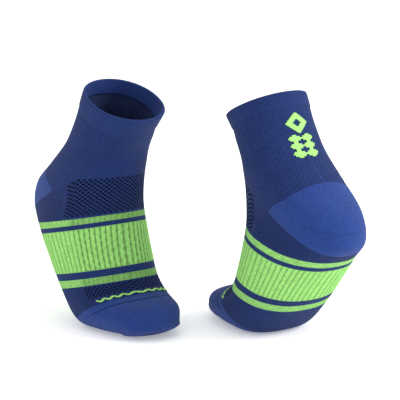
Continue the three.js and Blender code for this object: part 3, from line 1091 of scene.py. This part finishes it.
def stripe_tone(weave: Weave) -> Array:
    """A stripe over the vent's ground is duller than at the sides, and painted shade darkens the
    grooves of its faint ribs.

    Args:
        weave: the zone's grid.

    Returns:
        The tone at each corner.
    """
    instep = over_instep(weave, *STRIPE_TONE_INSTEP)
    # Painted shade in the valleys between the faint ribs.
    painted_groove_shade = STRIPE_GROOVE_PAINTED_SHADE * instep * rib_valley(weave.column) ** 3
    light = 1 - STRIPE_INSTEP_LOSS * instep - painted_groove_shade
    return stitched(weave, uneven=0.16, twill=0.0) * light


def edge_tone(weave: Weave) -> Array:
    """A darker line where the pocket is joined."""
    return stitched(weave, uneven=0.13, twill=0.03) * (JOIN_TONE + JOIN_FADE * weave.edge)


def sole_tone(weave: Weave) -> Array:
    """The knit is stretched open beside the vent and closer under the foot."""
    underneath = smooth_step(from_front(weave.angle), 70, 120)
    return stitched(weave) * (SOLE_TONE + SOLE_GAIN * underneath)


def pinhole_tone(weave: Weave) -> Array:
    """A dark pin-hole at every second wale of every second course, staggered.

    Args:
        weave: the zone's grid.

    Returns:
        The tone at each corner.
    """
    shift = np.mod(np.floor(weave.row / 2), 2) * 2
    hole = (np.mod(weave.column + shift, 4) < 1) & (np.mod(weave.row, 2) < 1)
    light = np.where(hole, PINHOLE_TONE, ROUND_PINHOLE_TONE)
    return stitched(weave, uneven=0.07, twill=0.0) * light


@dataclass
class Zone:
    """One knitted zone of a sock, and how it is built, dressed and fastened to the frame."""

    node: str
    part: Part
    finish: KnitFinish
    lines: list[Line]
    rows: list[int]
    wall: float
    first: int = 0
    last: int = HALF_WALES
    relief: Relief = jersey
    tone: Relief = even
    open_between: tuple[int, int, int] | None = None
    blends_into: Part | None = None
    reference: float = 90.0
    even_courses: bool = False
    has_tip: bool = False
    edge_width: float = 1.3
    holes: bool = False

    @property
    def ring(self) -> bool:
        """Whether the zone runs all the way round."""
        return self.last - self.first == HALF_WALES


@dataclass
class Vent:
    """A lattice of staggered lozenge holes, in half wales and courses."""

    repeat: int = 6
    width: int = 3
    pitch: int = 2
    margin_columns: int = 3
    margin_rows: int = 2
    pinch: float = 0.08
    swell: float = 0.38

    def holes(self, rows: int, columns: int, first: int) -> Array:
        """Which cells are open.

        Args:
            rows: number of courses.
            columns: number of half wales.
            first: the first half wale's place round the sock.

        Returns:
            A boolean array of rows by columns.
        """
        row, column = np.mgrid[0:rows, 0:columns]
        shift = np.mod(row // self.pitch, 2) * (self.repeat // 2)
        inside = np.mod(column + first + shift, self.repeat) < self.width
        start = column - np.mod(column + first + shift, self.repeat)
        last_start = columns - self.margin_columns - self.width
        whole = (start >= self.margin_columns) & (start <= last_start)
        deep = (row >= self.margin_rows) & (row < rows - self.margin_rows)
        return inside & whole & deep & (np.mod(row, self.pitch) == 0)

    def shape(self, open_cells: Array) -> Array:
        """How far each corner moves along the sock to round the holes.

        Args:
            open_cells: which cells are open.

        Returns:
            The moves, as a share of a course.
        """
        rows, columns = open_cells.shape
        moved = np.zeros((rows + 1, columns + 1))
        row, column = np.nonzero(open_cells)
        for step in range(self.width + 1):
            starts = self._starts(open_cells, row, column)
            at_end = step in (0, self.width)
            move = self.pinch if at_end else -self.swell
            moved[row[starts], column[starts] + step] = move
            moved[row[starts] + 1, column[starts] + step] = -move
        return moved

    @staticmethod
    def _starts(open_cells: Array, row: Array, column: Array) -> Array:
        """Which open cells are the first of their hole."""
        before = np.maximum(column - 1, 0)
        return ~open_cells[row, before] | (column == 0)


class Knitter:
    """Builds zones on a limb and puts them in the object's frame."""

    LIMB_SAMPLES = 400
    ZONE_SAMPLES = 60
    SIDE_ANGLE = 90.0

    def __init__(self, side: Side, limb: Limb, shading: KnitShading) -> None:
        """Measures the limb down its side, for the course coordinates.

        Args:
            side: which sock.
            limb: its surface.
            shading: the finishes' materials.
        """
        self.side = side
        self.limb = limb
        self.shading = shading
        self.vent = Vent()
        self.pieces: dict[str, bpy.types.Object] = {}
        self.patches: dict[str, Patch] = {}
        self._samples = np.linspace(0, limb.tip_distance, self.LIMB_SAMPLES)
        self._side_run = limb.run(self._samples, self.SIDE_ANGLE)

    def place(self, points: Array) -> Array:
        """Turns points of the sock's own frame, in millimetres, into the object's, in metres.

        Args:
            points: the points, with the last axis x, y, z.

        Returns:
            The points in the object's frame.
        """
        x, y, z = np.moveaxis(points, -1, 0)
        if self.side is Side.LEFT:
            return np.stack([y - PAIR.half_spacing, PAIR.half_stagger - x, z], axis=-1) * MM
        return np.stack([PAIR.half_spacing - y, x - PAIR.half_stagger, z], axis=-1) * MM

    def run_at(self, distance: Array) -> Array:
        """How far it is over the surface from the rim to each distance, down the sock's side."""
        return np.interp(distance, self._samples, self._side_run)

    def shares(self, zone: Zone, top: float, bottom: float, rows: int) -> Array:
        """Row places that are evenly spaced over the surface at the zone's own angle.

        Args:
            zone: the zone.
            top: where its block of rows begins, in millimetres.
            bottom: where it ends.
            rows: how many rows it has.

        Returns:
            The places, from 0 to 1.
        """
        fine = np.linspace(top, bottom, self.ZONE_SAMPLES)
        run = self.limb.run(fine, zone.reference)
        spaced = np.interp(np.linspace(0, run[-1], rows + 1), run, fine)
        return (spaced - top) / (bottom - top)

    def grid(self, zone: Zone) -> tuple[Weave, Array]:
        """A zone's grid of corners.

        Args:
            zone: the zone.

        Returns:
            The grid's values, and each row's block of rows.
        """
        count = zone.last - zone.first
        column = zone.first + np.arange(count if zone.ring else count + 1)
        angle = np.mod(column * DEGREES_PER_COLUMN, 360)
        middle = int(round(zone.reference / DEGREES_PER_COLUMN))
        distances, blocks = [], []
        for block, (above, below, rows) in enumerate(zip(zone.lines, zone.lines[1:], zone.rows)):
            top, bottom = above(column), below(column)
            reference = [float(line(np.array([middle]))[0]) for line in (above, below)]
            share = self.shares(zone, *reference, rows)
            step = top[None, :] + share[:, None] * (bottom - top)[None, :]
            distances.append(step if block == 0 else step[1:])
            blocks += [block] * rows
        distance = np.concatenate(distances)
        shape = distance.shape
        row = np.broadcast_to(np.arange(shape[0])[:, None], shape).astype(float)
        run = self.run_at(distance)
        near = np.minimum(distance - distance[0], distance[-1] - distance)
        edge = smooth_step(near, 0.0, zone.edge_width)
        if zone.has_tip:
            edge = smooth_step(distance - distance[0], 0.0, zone.edge_width)
        columns = np.broadcast_to(column.astype(float), shape)
        angles = np.broadcast_to(angle, shape)
        return Weave(columns, angles, distance, run, row, edge), np.array(blocks)

    def patch(self, zone: Zone) -> Patch:
        """The wall of a zone.

        Args:
            zone: the zone.

        Returns:
            The wall, ready to build.
        """
        weave, blocks = self.grid(zone)
        rows, corners = weave.distance.shape
        cells = np.ones((rows - 1, corners if zone.ring else corners - 1), bool)
        if zone.open_between:
            block, low, high = zone.open_between
            middle = np.mod(weave.column[0] + 0.5 + HALF_WALES / 2, HALF_WALES) - HALF_WALES / 2
            panel = (middle > low) & (middle < high)
            cells &= ~((blocks == block)[:, None] & panel[None, : cells.shape[1]])
        outline = cells.copy()
        distance = weave.distance
        if zone.holes:
            open_cells = self.vent.holes(rows - 1, corners - 1, zone.first)
            cells &= ~open_cells
            spacing = np.gradient(distance, axis=0)
            distance = distance + self.vent.shape(open_cells) * spacing
        face = self.raised(distance, weave.angle, zone.relief(weave))
        reverse = self.raised(distance, weave.angle, np.full(distance.shape, -zone.wall))
        if zone.has_tip:
            face[-1] = face[-1].mean(axis=0)
            reverse[-1] = reverse[-1].mean(axis=0)
        course = weave.row if zone.even_courses else weave.run / COURSE
        return Patch(
            face=self.place(face),
            reverse=self.place(reverse),
            wale=weave.column / 2,
            course=course,
            tone=zone.tone(weave),
            cells=cells,
            outline=outline,
            round_column=zone.ring,
            # Hole walls take the reverse finish, which is near-black for vents: painted shade in the
            # holes.
            side_layer=Layer.REVERSE if zone.holes else Layer.FACE,
        )

    def raised(self, distance: Array, angle: Array, height: Array) -> Array:
        """Points that stand over the limb, and never under the ground it rests on.

        Args:
            distance: along the centre line from the rim, in millimetres.
            angle: round the limb, in degrees.
            height: how high each stands.

        Returns:
            The points, with the last axis x, y, z.
        """
        points = self.limb.point(distance, angle)
        points = points + self.limb.normal(distance, angle) * height[..., None]
        points[..., 2] = np.maximum(points[..., 2], 0.0)
        return points

    def fasten(
        self, piece: bpy.types.Object, node: str, part: Part, into: Part | None, slot: str
    ) -> None:
        """Attaches a piece to its body, or only bakes its transform when it spans two bodies, and
        hides its CAD node.

        Args:
            piece: the finished piece.
            node: the CAD node it stands for, without the side.
            part: the body it moves with, or the first of the two it spans.
            into: the second body it spans, if any.
            slot: the record's material slot; not used.
        """
        if into is None:
            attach(piece, f"{self.side.value}_{part.value}")
        else:
            start, end = BENDS[(part, into)]
            ends = [self.place(np.array([x, 0.0, z])) for x, z in (start, end)]
            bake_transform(piece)
        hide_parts(f"{self.side.value}_{node}")

    def declare(self, node: str, trims: tuple[str, ...] = ()) -> None:
        """Takes a zone's node and the nodes knitted on to it, and does nothing with them.

        Args:
            node: the zone's CAD node, without the side; not used.
            trims: the nodes of the pieces that are knitted or linked on to it; not used.
        """

    @staticmethod
    def _area(patch: Patch) -> float:
        """The area of a zone within its outline, vent holes and all.

        Args:
            patch: the zone's wall.

        Returns:
            The area, in square metres.
        """
        row, column = np.nonzero(patch.outline)
        rows, columns = patch.face.shape[:2]
        next_row, next_column = np.mod(row + 1, rows), np.mod(column + 1, columns)
        first_diagonal = patch.face[next_row, next_column] - patch.face[row, column]
        second_diagonal = patch.face[next_row, column] - patch.face[row, next_column]
        cross = np.cross(first_diagonal, second_diagonal)
        return float(np.linalg.norm(cross, axis=-1).sum() / 2)

    def knit(self, zone: Zone) -> None:
        """Builds, dresses and fastens one zone.

        Args:
            zone: the zone.
        """
        patch = self.patch(zone)
        # Vents take the near-black net finish inside and on their holes' walls: painted shade in the
        # holes.
        under = DARK_NET_AND_HOLE_SHADE if zone.holes else zone.finish.reverse()
        materials = [self.shading.material(zone.finish), self.shading.material(under)]
        piece = patch.build(f"{self.side.value}_{zone.node}_cloth", materials)
        self.keep(zone.node, piece, patch)
        self.fasten(piece, zone.node, zone.part, zone.blends_into, zone.finish.slot)

    def line(self, zone: Zone) -> None:
        """Lays a thin dark net behind a vent's holes: a dark backing mesh, and also painted shade seen
        through the holes.

        Args:
            zone: the vent.
        """
        weave, _ = self.grid(zone)
        shape = weave.distance.shape
        heights = [np.full(shape, -zone.wall - depth) for depth in (NET_GAP, NET_DEPTH)]
        whole = np.ones((shape[0] - 1, shape[1] - 1), bool)
        patch = self.layer(weave, heights, weave.row, whole)
        material = self.shading.material(DARK_NET_AND_HOLE_SHADE)
        piece = patch.build(f"{self.side.value}_{zone.node}_net", [material, material])
        self.keep(f"{zone.node}_net", piece, patch)
        self.fasten(piece, zone.node, zone.part, zone.blends_into, DARK_NET_AND_HOLE_SHADE.slot)

    def layer(
        self, weave: Weave, heights: list[Array], course: Array, cells: Array, ring: bool = False
    ) -> Patch:
        """A thin layer of one tone all over.

        Args:
            weave: its grid.
            heights: how high its face and its reverse stand over the limb.
            course: its course coordinates.
            cells: which cells it fills.
            ring: whether it runs all the way round.

        Returns:
            The wall, ready to build.
        """
        faces = [self.raised(weave.distance, weave.angle, height) for height in heights]
        face, reverse = map(self.place, faces)
        tone = np.ones(weave.distance.shape)
        return Patch(face, reverse, weave.column / 2, course, tone, cells, cells, round_column=ring)

    def keep(self, node: str, piece: bpy.types.Object, patch: Patch) -> None:
        """Remembers a finished piece, and reports it.

        Args:
            node: the name it is known by among the sock's pieces.
            piece: the finished piece.
            patch: the wall it was built from.
        """
        self.pieces[node] = piece
        self.patches[node] = patch
        LOG.info("%s: %d faces", piece.name, len(piece.data.polygons))


@dataclass(frozen=True)
class Pair:
    """How the two socks stand, in millimetres."""

    half_spacing: float = 56.0
    half_stagger: float = 73.0


PAIR = Pair()
NET_GAP = 0.05
NET_DEPTH = 0.30
ELASTIC_SPAN = (3.4, 13.4)
ELASTIC_OUTER = 1.2
ELASTIC_INNER = 1.7
ELASTIC_CORD = 0.05
TRIMS = {
    "leg_knit": ("leg_emblem",),
    "forefoot_knit": ("toe_zigzag",),
    "toe_band": ("toe_link_seam",),
}
BENDS = {
    (Part.LEG, Part.FOOT): ((6, 188), (-12, 138)),
    (Part.FOOT, Part.TOE): ((8, 58), (34, 24)),
}


# ---------------------------------------------------------------------------------------------
# The pieces that aren't plain zones
# ---------------------------------------------------------------------------------------------


@dataclass
class CuffWelt:
    """The folded band at the cuff: a double layer with a rounded rim and a toothed inner edge."""

    depth: float = 19.0
    layer: float = 0.9
    fold: float = 2.9
    inner_depth: float = 16.0
    proud: float = 0.55
    tooth: float = 2.6
    tooth_columns: int = 4
    # How much painted light lifts the welt's inner layer past the fold, where the cuff's own shade
    # falls.
    inner_painted_light: float = 1.55
    tuck: float = 1.6
    roll: float = 0.16
    middle: float = 0.6
    unevenness: float = 0.10
    outer_rows: int = 18
    inner_rows: int = 15
    rim_rows: int = 9
    cut_width: float = 0.21
    seed: int = 11

    def _profile(self, column: Array) -> tuple[Array, Array]:
        """Heights over the limb and distances down it, round the folded band.

        Args:
            column: the half wales.

        Returns:
            Two arrays of rows by columns.
        """
        bend = self.fold / 2
        edge = self.depth
        along_tooth = np.abs(np.mod(column / self.tooth_columns, 1) - 0.5)
        tooth = self.inner_depth + self.tooth * along_tooth * 2
        rows: list[tuple[float, Array]] = []
        for share in np.linspace(0, 1, self.outer_rows):
            down = bend + share * (edge - bend)
            tuck = smooth_step(np.array(down), edge - self.tuck, edge)
            rows.append((self.proud * (1 - float(tuck)), np.full(column.shape, down)))
        slot = bend + self.layer / 2
        middle = self.middle * edge
        rows += [(-self.layer, np.full(column.shape, down)) for down in (edge, middle, slot)]
        back = -(self.fold - self.layer)
        rows += [(back, np.full(column.shape, down)) for down in (slot, middle)]
        rows.append((back, tooth))
        for share in np.linspace(1, 0, self.inner_rows):
            rows.append((-self.fold, bend + share * (tooth - bend)))
        radius = (self.fold + self.proud) / 2
        centre = (self.proud - self.fold) / 2
        for turn in np.linspace(0, math.pi, self.rim_rows)[1:-1]:
            height = centre - radius * math.cos(turn)
            rows.append((height, np.full(column.shape, bend - bend * math.sin(turn))))
        heights = np.array([np.full(column.shape, height) for height, _ in rows])
        return heights, np.array([distance for _, distance in rows])

    def build(self, knitter: Knitter) -> None:
        """Makes the band and fastens it to the leg.

        Args:
            knitter: the sock's knitter.
        """
        column = np.arange(HALF_WALES)
        height, distance = self._profile(column)
        angle = np.broadcast_to(np.mod(column * DEGREES_PER_COLUMN, 360), distance.shape)
        wale = WALE_RELIEF * furrow(column)
        roll = self.roll * np.sin(math.pi * np.clip(distance / self.depth, 0, 1))
        outside = height > 0
        height = height + np.where(outside, roll + wale, 0)
        points = knitter.place(knitter.raised(distance, angle, height))
        steps = np.linalg.norm(np.diff(points[:, 0], axis=0), axis=1)
        run = np.concatenate([[0], np.cumsum(steps)])
        course = np.broadcast_to((run / MM / COURSE)[:, None], distance.shape)
        # Painted light on the welt's inner layer past the fold, against the shade inside the cuff.
        painted_light_mask = (height < -self.layer) * smooth_step(distance, self.fold / 2, self.fold)
        scatter = np.random.default_rng(self.seed).standard_normal(distance.shape)
        tone = (1 + (self.inner_painted_light - 1) * painted_light_mask) * (1 + self.unevenness * np.clip(scatter, -2, 2))
        piece = self._close(knitter, points, course, tone)
        knitter.fasten(piece, "cuff_welt", Part.LEG, None, WELT_BLUE.slot)
        LOG.info("%s: %d faces", piece.name, len(piece.data.polygons))

    @staticmethod
    def _close(knitter: Knitter, points: Array, course: Array, tone: Array) -> bpy.types.Object:
        """Closes the swept profile into a mesh.

        Args:
            knitter: the sock's knitter.
            points: the profile's points, round the sock.
            course: the course coordinate of each.
            tone: the tone of each.

        Returns:
            The piece.
        """
        rows, columns = points.shape[:2]
        row, column = (place.ravel() for place in np.mgrid[0:rows, 0:columns])
        next_row, next_column = np.mod(row + 1, rows), np.mod(column + 1, columns)
        ends = ((row, column), (next_row, column), (next_row, next_column), (row, next_column))
        quads = np.stack([across * columns + along for across, along in ends], axis=1)
        mesh = bpy.data.meshes.new(f"{knitter.side.value}_cuff_welt_cloth")
        mesh.from_pydata(points.reshape(-1, 3), [], quads.tolist())
        mesh.materials.append(knitter.shading.material(WELT_BLUE))
        stitch_wale = np.stack([column, column, column + 1, column + 1], axis=1) / 2
        stitch_course = course[np.mod(np.stack([row, row + 1, row + 1, row], axis=1), rows), 0]
        return finished(mesh, np.stack([stitch_wale, stitch_course], axis=-1), tone)


@dataclass
class Motif:
    """A figure knitted in with a second yarn: whole stitches, standing a little proud."""

    node: str
    part: Part
    blends_into: Part | None
    first: int
    last: int
    top: float
    bottom: float
    rows: int
    pattern: Callable[[Array, Array], Array]
    lift: float = 0.20
    thickness: float = 0.38

    def build(self, knitter: Knitter) -> None:
        """Makes the figure and fastens it.

        Args:
            knitter: the sock's knitter.
        """
        column = self.first + np.arange(self.last - self.first + 1)
        distance = np.linspace(self.top, self.bottom, self.rows + 1)[:, None]
        distance = np.broadcast_to(distance, (self.rows + 1, len(column)))
        columns = np.broadcast_to(column.astype(float), distance.shape)
        angle = np.mod(columns * DEGREES_PER_COLUMN, 360)
        row, stitch = np.mgrid[0 : self.rows, 0 : len(column) - 1]
        wale = np.floor(stitch / 2) + 0.5 - (len(column) - 1) / 4
        cells = self.pattern(wale, row + 0.5)
        run = knitter.run_at(distance)
        flush = np.ones(distance.shape)
        weave = Weave(columns, angle, distance, run, run / COURSE, flush)
        top = self.lift + self.thickness + WALE_RELIEF * furrow(columns)
        patch = knitter.layer(weave, [top, self.lift * flush], run / COURSE, cells)
        material = knitter.shading.material(LIME_MOTIF)
        piece = patch.build(f"{knitter.side.value}_{self.node}_cloth", [material, material])
        knitter.keep(self.node, piece, patch)
        knitter.fasten(piece, self.node, self.part, self.blends_into, LIME_MOTIF.slot)


def diamond(x: Array, y: Array, centre: tuple[float, float], reach: tuple[float, float]) -> Array:
    """Which stitches lie in a diamond about a centre."""
    return np.abs(x - centre[0]) / reach[0] + np.abs(y - centre[1]) / reach[1] <= 1


def emblem_pattern(wale: Array, course: Array) -> Array:
    """An open diamond over three rows of paired small ones.

    Args:
        wale: wales from the middle of the figure.
        course: courses from its top.

    Returns:
        Which stitches are in the second yarn.
    """
    centre, outer, inner = (0, 7.5), (8.2, 7.8), (3.0, 2.8)
    levels, aside, small = (18.5, 23.5, 28.5), 4.2, (5.2, 2.9)
    figure = diamond(wale, course, centre, outer) & ~diamond(wale, course, centre, inner)
    for level in levels:
        for side in (-aside, aside):
            figure |= diamond(wale, course, (side, level), small)
    return figure


def zigzag_pattern(wale: Array, course: Array) -> Array:
    """A zigzag line.

    Args:
        wale: wales from the middle of the figure.
        course: courses from its top.

    Returns:
        Which stitches are in the second yarn.
    """
    period, top, swing, half_width = 6.0, 1.6, 4.8, 1.7
    phase = np.mod(wale / period, 1)
    wave = top + swing * np.abs(phase * 2 - 1)
    return np.abs(course - wave) <= half_width


@dataclass
class Sock:
    """One sock of the pair. Slip is how far its cuff has slid down, in millimetres."""

    side: Side
    front_slip: float
    back_slip: float
    shading: KnitShading
    knitter: Knitter = field(init=False)
    layout: Layout = field(init=False)

    def __post_init__(self) -> None:
        """Shapes the limb and lays out the zones on it."""
        limb = Limb(front_slip=self.front_slip, back_slip=self.back_slip)
        self.knitter = Knitter(self.side, limb, self.shading)
        self.layout = Layout(limb)

    def column(self, angle: float) -> int:
        """The column at an angle from the front."""
        return round(angle / DEGREES_PER_COLUMN)

    def leg_zones(self) -> list[Zone]:
        """The leg, the ankle vent, the heel pocket and what surrounds it.

        Returns:
            The zones.
        """
        lay = self.layout
        vent = self.column(lay.vent_angle)
        gore = self.column(lay.gore_angle)
        welt, stripe = lay.plain(lay.welt_depth), lay.stepped(lay.stripe_top)
        return [
            Zone("leg_knit", Part.LEG, BODY_BLUE, [welt, lay.vent_top, lay.heel_top], [50, 40], 1.5,
                 relief=centre_back, tone=back_tone, open_between=(1, -vent, vent),
                 blends_into=Part.FOOT, reference=120),
            Zone("ankle_vent", Part.LEG, VENT_BLUE, [lay.vent_top, stripe], [42], 1.2,
                 first=-vent, last=vent, blends_into=Part.FOOT, reference=15,
                 even_courses=True, holes=True),
            Zone("heel_upper", Part.FOOT, HEEL_BLUE, [lay.heel_top, lay.heel_middle], [42], 2.2,
                 first=gore, last=HALF_WALES - gore, relief=terry, tone=edge_tone,
                 reference=180, even_courses=True, edge_width=0.7),
            Zone("heel_lower", Part.FOOT, HEEL_BLUE, [lay.heel_middle, lay.heel_bottom], [30], 2.2,
                 first=gore, last=HALF_WALES - gore, relief=terry, tone=edge_tone,
                 reference=180, even_courses=True, edge_width=0.7),
            Zone("heel_surround", Part.LEG, PIN_BLUE, [lay.heel_bottom, stripe], [34], 1.6,
                 first=vent, last=HALF_WALES - vent, tone=pinhole_tone, blends_into=Part.FOOT),
        ]

    def arch_zones(self) -> list[Zone]:
        """The stripes and the ribbed band.

        Returns:
            The zones.
        """
        lay = self.layout
        green, blue = lay.stepped(lay.stripe_top), lay.stepped(lay.stripe_middle)
        top, bottom = lay.stepped(lay.arch_top), lay.stepped(lay.arch_bottom)
        middle, ball = lay.stepped(lay.lower_middle), lay.stepped(lay.ball)
        return [
            Zone("upper_green_stripe", Part.FOOT, LIME_STRIPE, [green, blue], [7], 1.6,
                 relief=stripe_ribs, tone=stripe_tone),
            Zone("upper_blue_stripe", Part.FOOT, BODY_BLUE, [blue, top], [6], 1.6, relief=stripe_ribs),
            Zone("arch_band", Part.FOOT, LIME, [top, bottom], [50], 1.8,
                 relief=arch_ribs, tone=rib_tone, blends_into=Part.TOE),
            Zone("lower_blue_stripe", Part.FOOT, BODY_BLUE, [bottom, middle], [8], 1.6,
                 blends_into=Part.TOE),
            Zone("lower_green_stripe", Part.FOOT, LIME_STRIPE, [middle, ball], [9], 1.6,
                 tone=stripe_tone, blends_into=Part.TOE),
        ]

    def toe_zones(self) -> list[Zone]:
        """The forefoot, its vent, the toe band, the seam and the toe pocket.

        Returns:
            The zones.
        """
        lay = self.layout
        ball = lay.stepped(lay.ball)
        strip = lay.plain(lay.toe_line - lay.motif_strip)
        toe, seam = lay.plain(lay.toe_line), lay.plain(lay.toe_seam - lay.seam_width / 2)
        seam_end = lay.plain(lay.toe_seam + lay.seam_width / 2)
        tip = lay.plain(lay.limb.tip_distance)
        vent, band = self.column(lay.forefoot_angle), self.column(lay.toe_angle)
        return [
            Zone("forefoot_vent", Part.FOOT, VENT_BLUE, [ball, strip], [15], 1.2,
                 first=-vent, last=vent, blends_into=Part.TOE, reference=0,
                 even_courses=True, holes=True),
            Zone("forefoot_knit", Part.FOOT, SOLE_BLUE, [ball, strip, toe], [24, 10], 1.8,
                 open_between=(0, -vent, vent), tone=sole_tone, blends_into=Part.TOE, reference=120),
            Zone("toe_band", Part.TOE, HEEL_BLUE, [toe, seam], [9], 2.2,
                 first=-band, last=band, relief=terry, reference=0, edge_width=0.8),
            Zone("toe_link_seam", Part.TOE, SEAM_SHADE_BLUE, [seam, seam_end], [5], 2.2,
                 first=-band, last=band, relief=link_seam, reference=0, edge_width=0.6),
            Zone("toe_pocket", Part.TOE, HEEL_BLUE, [toe, seam_end, tip], [11, 62], 2.2,
                 open_between=(0, -band, band), relief=terry, tone=edge_tone, reference=0,
                 has_tip=True, edge_width=0.7),
        ]

    def motifs(self) -> list[Motif]:
        """The emblem down the back and the zigzag before the toe.

        Returns:
            The motifs.
        """
        back, reach = HALF_WALES // 2, 18
        zigzag = self.layout.toe_line - self.layout.motif_strip / 2
        return [
            Motif("leg_emblem", Part.LEG, Part.FOOT, first=back - reach, last=back + reach,
                  top=25.0, bottom=58.0, rows=32, pattern=emblem_pattern),
            Motif("toe_zigzag", Part.TOE, None, first=-50, last=58,
                  top=zigzag - 3.6, bottom=zigzag + 3.4, rows=8, pattern=zigzag_pattern),
        ]

    def elastic(self) -> Zone:
        """The elastic laid in the cuff's fold."""
        lines = [self.layout.plain(distance) for distance in ELASTIC_SPAN]
        return Zone("welt_elastic", Part.LEG, ELASTIC, lines, [10], ELASTIC_INNER - ELASTIC_OUTER)

    def build(self) -> None:
        """Builds every piece of the sock."""
        CuffWelt().build(self.knitter)
        for zone in (*self.leg_zones(), *self.arch_zones(), *self.toe_zones()):
            self.knitter.knit(zone)
            if zone.holes:
                self.knitter.line(zone)
        for motif in self.motifs():
            motif.build(self.knitter)
        self.build_elastic()
        sewn_on = {trim for several in TRIMS.values() for trim in several}
        for node in self.knitter.pieces:
            if node not in sewn_on:
                self.knitter.declare(node, TRIMS.get(node, ()))

    def build_elastic(self) -> None:
        """Lays the elastic between the cuff's two layers."""
        knitter = self.knitter
        zone = self.elastic()
        weave, _ = knitter.grid(zone)
        cords = ELASTIC_CORD * np.cos(math.pi * weave.row)
        heights = [cords - ELASTIC_OUTER, np.full(cords.shape, -ELASTIC_INNER)]
        whole = np.ones((cords.shape[0] - 1, cords.shape[1]), bool)
        patch = knitter.layer(weave, heights, weave.run / COURSE, whole, ring=True)
        material = knitter.shading.material(ELASTIC)
        piece = patch.build(f"{self.side.value}_welt_elastic_cloth", [material, material])
        knitter.keep(zone.node, piece, patch)
        knitter.fasten(piece, zone.node, zone.part, None, ELASTIC.slot)


# ---------------------------------------------------------------------------------------------
# The studio
# ---------------------------------------------------------------------------------------------


@dataclass(frozen=True)
class SoftBox:
    """A large square lamp: where it hangs, how wide it is, and its power in watts."""

    name: str
    place: tuple[float, float, float]
    width: float
    power: float


@dataclass
class Studio:
    """A white floor, soft light and the camera."""

    azimuth: float = -35.44
    elevation: float = 12.31
    distance: float = 1.997
    target: tuple[float, float, float] = (-0.0062, -0.0179, 0.1264)
    lens: float = 190.6
    sensor: float = 36.0
    far_limit: float = 100.0
    floor_size: float = 30.0
    floor_drop: float = 0.0006
    floor_white: float = 0.93
    floor_roughness: float = 0.9
    floor_glow: float = 0.30
    world_strength: float = 1.0
    boxes: tuple[SoftBox, ...] = (
        SoftBox("key_softbox", (1.8, -1.7, 1.6), 1.1, 56.0),
        SoftBox("fill_softbox", (-2.0, -1.2, 1.3), 1.5, 3.0),
    )

    def build(self) -> None:
        """Makes the floor, the world, the lamps and the camera."""
        self._floor()
        self._world()
        for box in self.boxes:
            self._lamp(box)
        self._camera()
        bpy.context.scene.view_settings.view_transform = "Standard"

    def _floor(self) -> None:
        """A plain white floor just under the soles."""
        bpy.ops.object.select_all(action="DESELECT")
        bpy.ops.mesh.primitive_plane_add(size=self.floor_size, location=(0, 0, -self.floor_drop))
        floor = bpy.context.active_object
        floor.name = "studio_floor"
        material = bpy.data.materials.new("studio_white")
        material.use_nodes = True
        shader = material.node_tree.nodes["Principled BSDF"]
        shader.inputs["Base Color"].default_value = (*[self.floor_white] * 3, 1.0)
        shader.inputs["Roughness"].default_value = self.floor_roughness
        shader.inputs["Specular IOR Level"].default_value = 0.0
        shader.inputs["Emission Color"].default_value = (1.0, 1.0, 1.0, 1.0)
        shader.inputs["Emission Strength"].default_value = self.floor_glow
        floor.data.materials.append(material)

    def _world(self) -> None:
        """Even white light from all round."""
        world = bpy.data.worlds.new("studio_world")
        world.use_nodes = True
        background = world.node_tree.nodes["Background"]
        background.inputs["Color"].default_value = (1.0, 1.0, 1.0, 1.0)
        background.inputs["Strength"].default_value = self.world_strength
        bpy.context.scene.world = world

    def _lamp(self, box: SoftBox) -> None:
        """Hangs a soft box that faces the pair.

        Args:
            box: the soft box.
        """
        data = bpy.data.lights.new(box.name, "AREA")
        data.shape = "SQUARE"
        data.size = box.width
        data.energy = box.power
        lamp = bpy.data.objects.new(box.name, data)
        lamp.location = box.place
        aim = Vector(self.target) - Vector(box.place)
        lamp.rotation_mode = "QUATERNION"
        lamp.rotation_quaternion = aim.to_track_quat("-Z", "Y")
        bpy.context.scene.collection.objects.link(lamp)

    def _camera(self) -> None:
        """Puts the camera before the pair, a little to one side and looking a little down."""
        turn, rise = math.radians(self.azimuth), math.radians(self.elevation)
        back = Vector(
            (math.sin(turn) * math.cos(rise), -math.cos(turn) * math.cos(rise), math.sin(rise))
        )
        data = bpy.data.cameras.new("studio_camera")
        data.lens = self.lens
        data.sensor_width = self.sensor
        data.clip_end = self.far_limit
        camera = bpy.data.objects.new("studio_camera", data)
        camera.location = Vector(self.target) + back * self.distance
        camera.rotation_mode = "QUATERNION"
        camera.rotation_quaternion = (-back).to_track_quat("-Z", "Y")
        bpy.context.scene.collection.objects.link(camera)
        bpy.context.scene.camera = camera


CUFF_SLIPS = {Side.LEFT: (0.0, 0.0), Side.RIGHT: (9.0, 3.0)}


def main() -> None:
    """Builds the studio and both socks."""
    logging.basicConfig(level=logging.INFO, format="%(name)s %(message)s")
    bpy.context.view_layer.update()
    Studio().build()
    shading = KnitShading()
    for side, (front_slip, back_slip) in CUFF_SLIPS.items():
        Sock(side, front_slip, back_slip, shading).build()


if __name__ == "__main__":
    main()
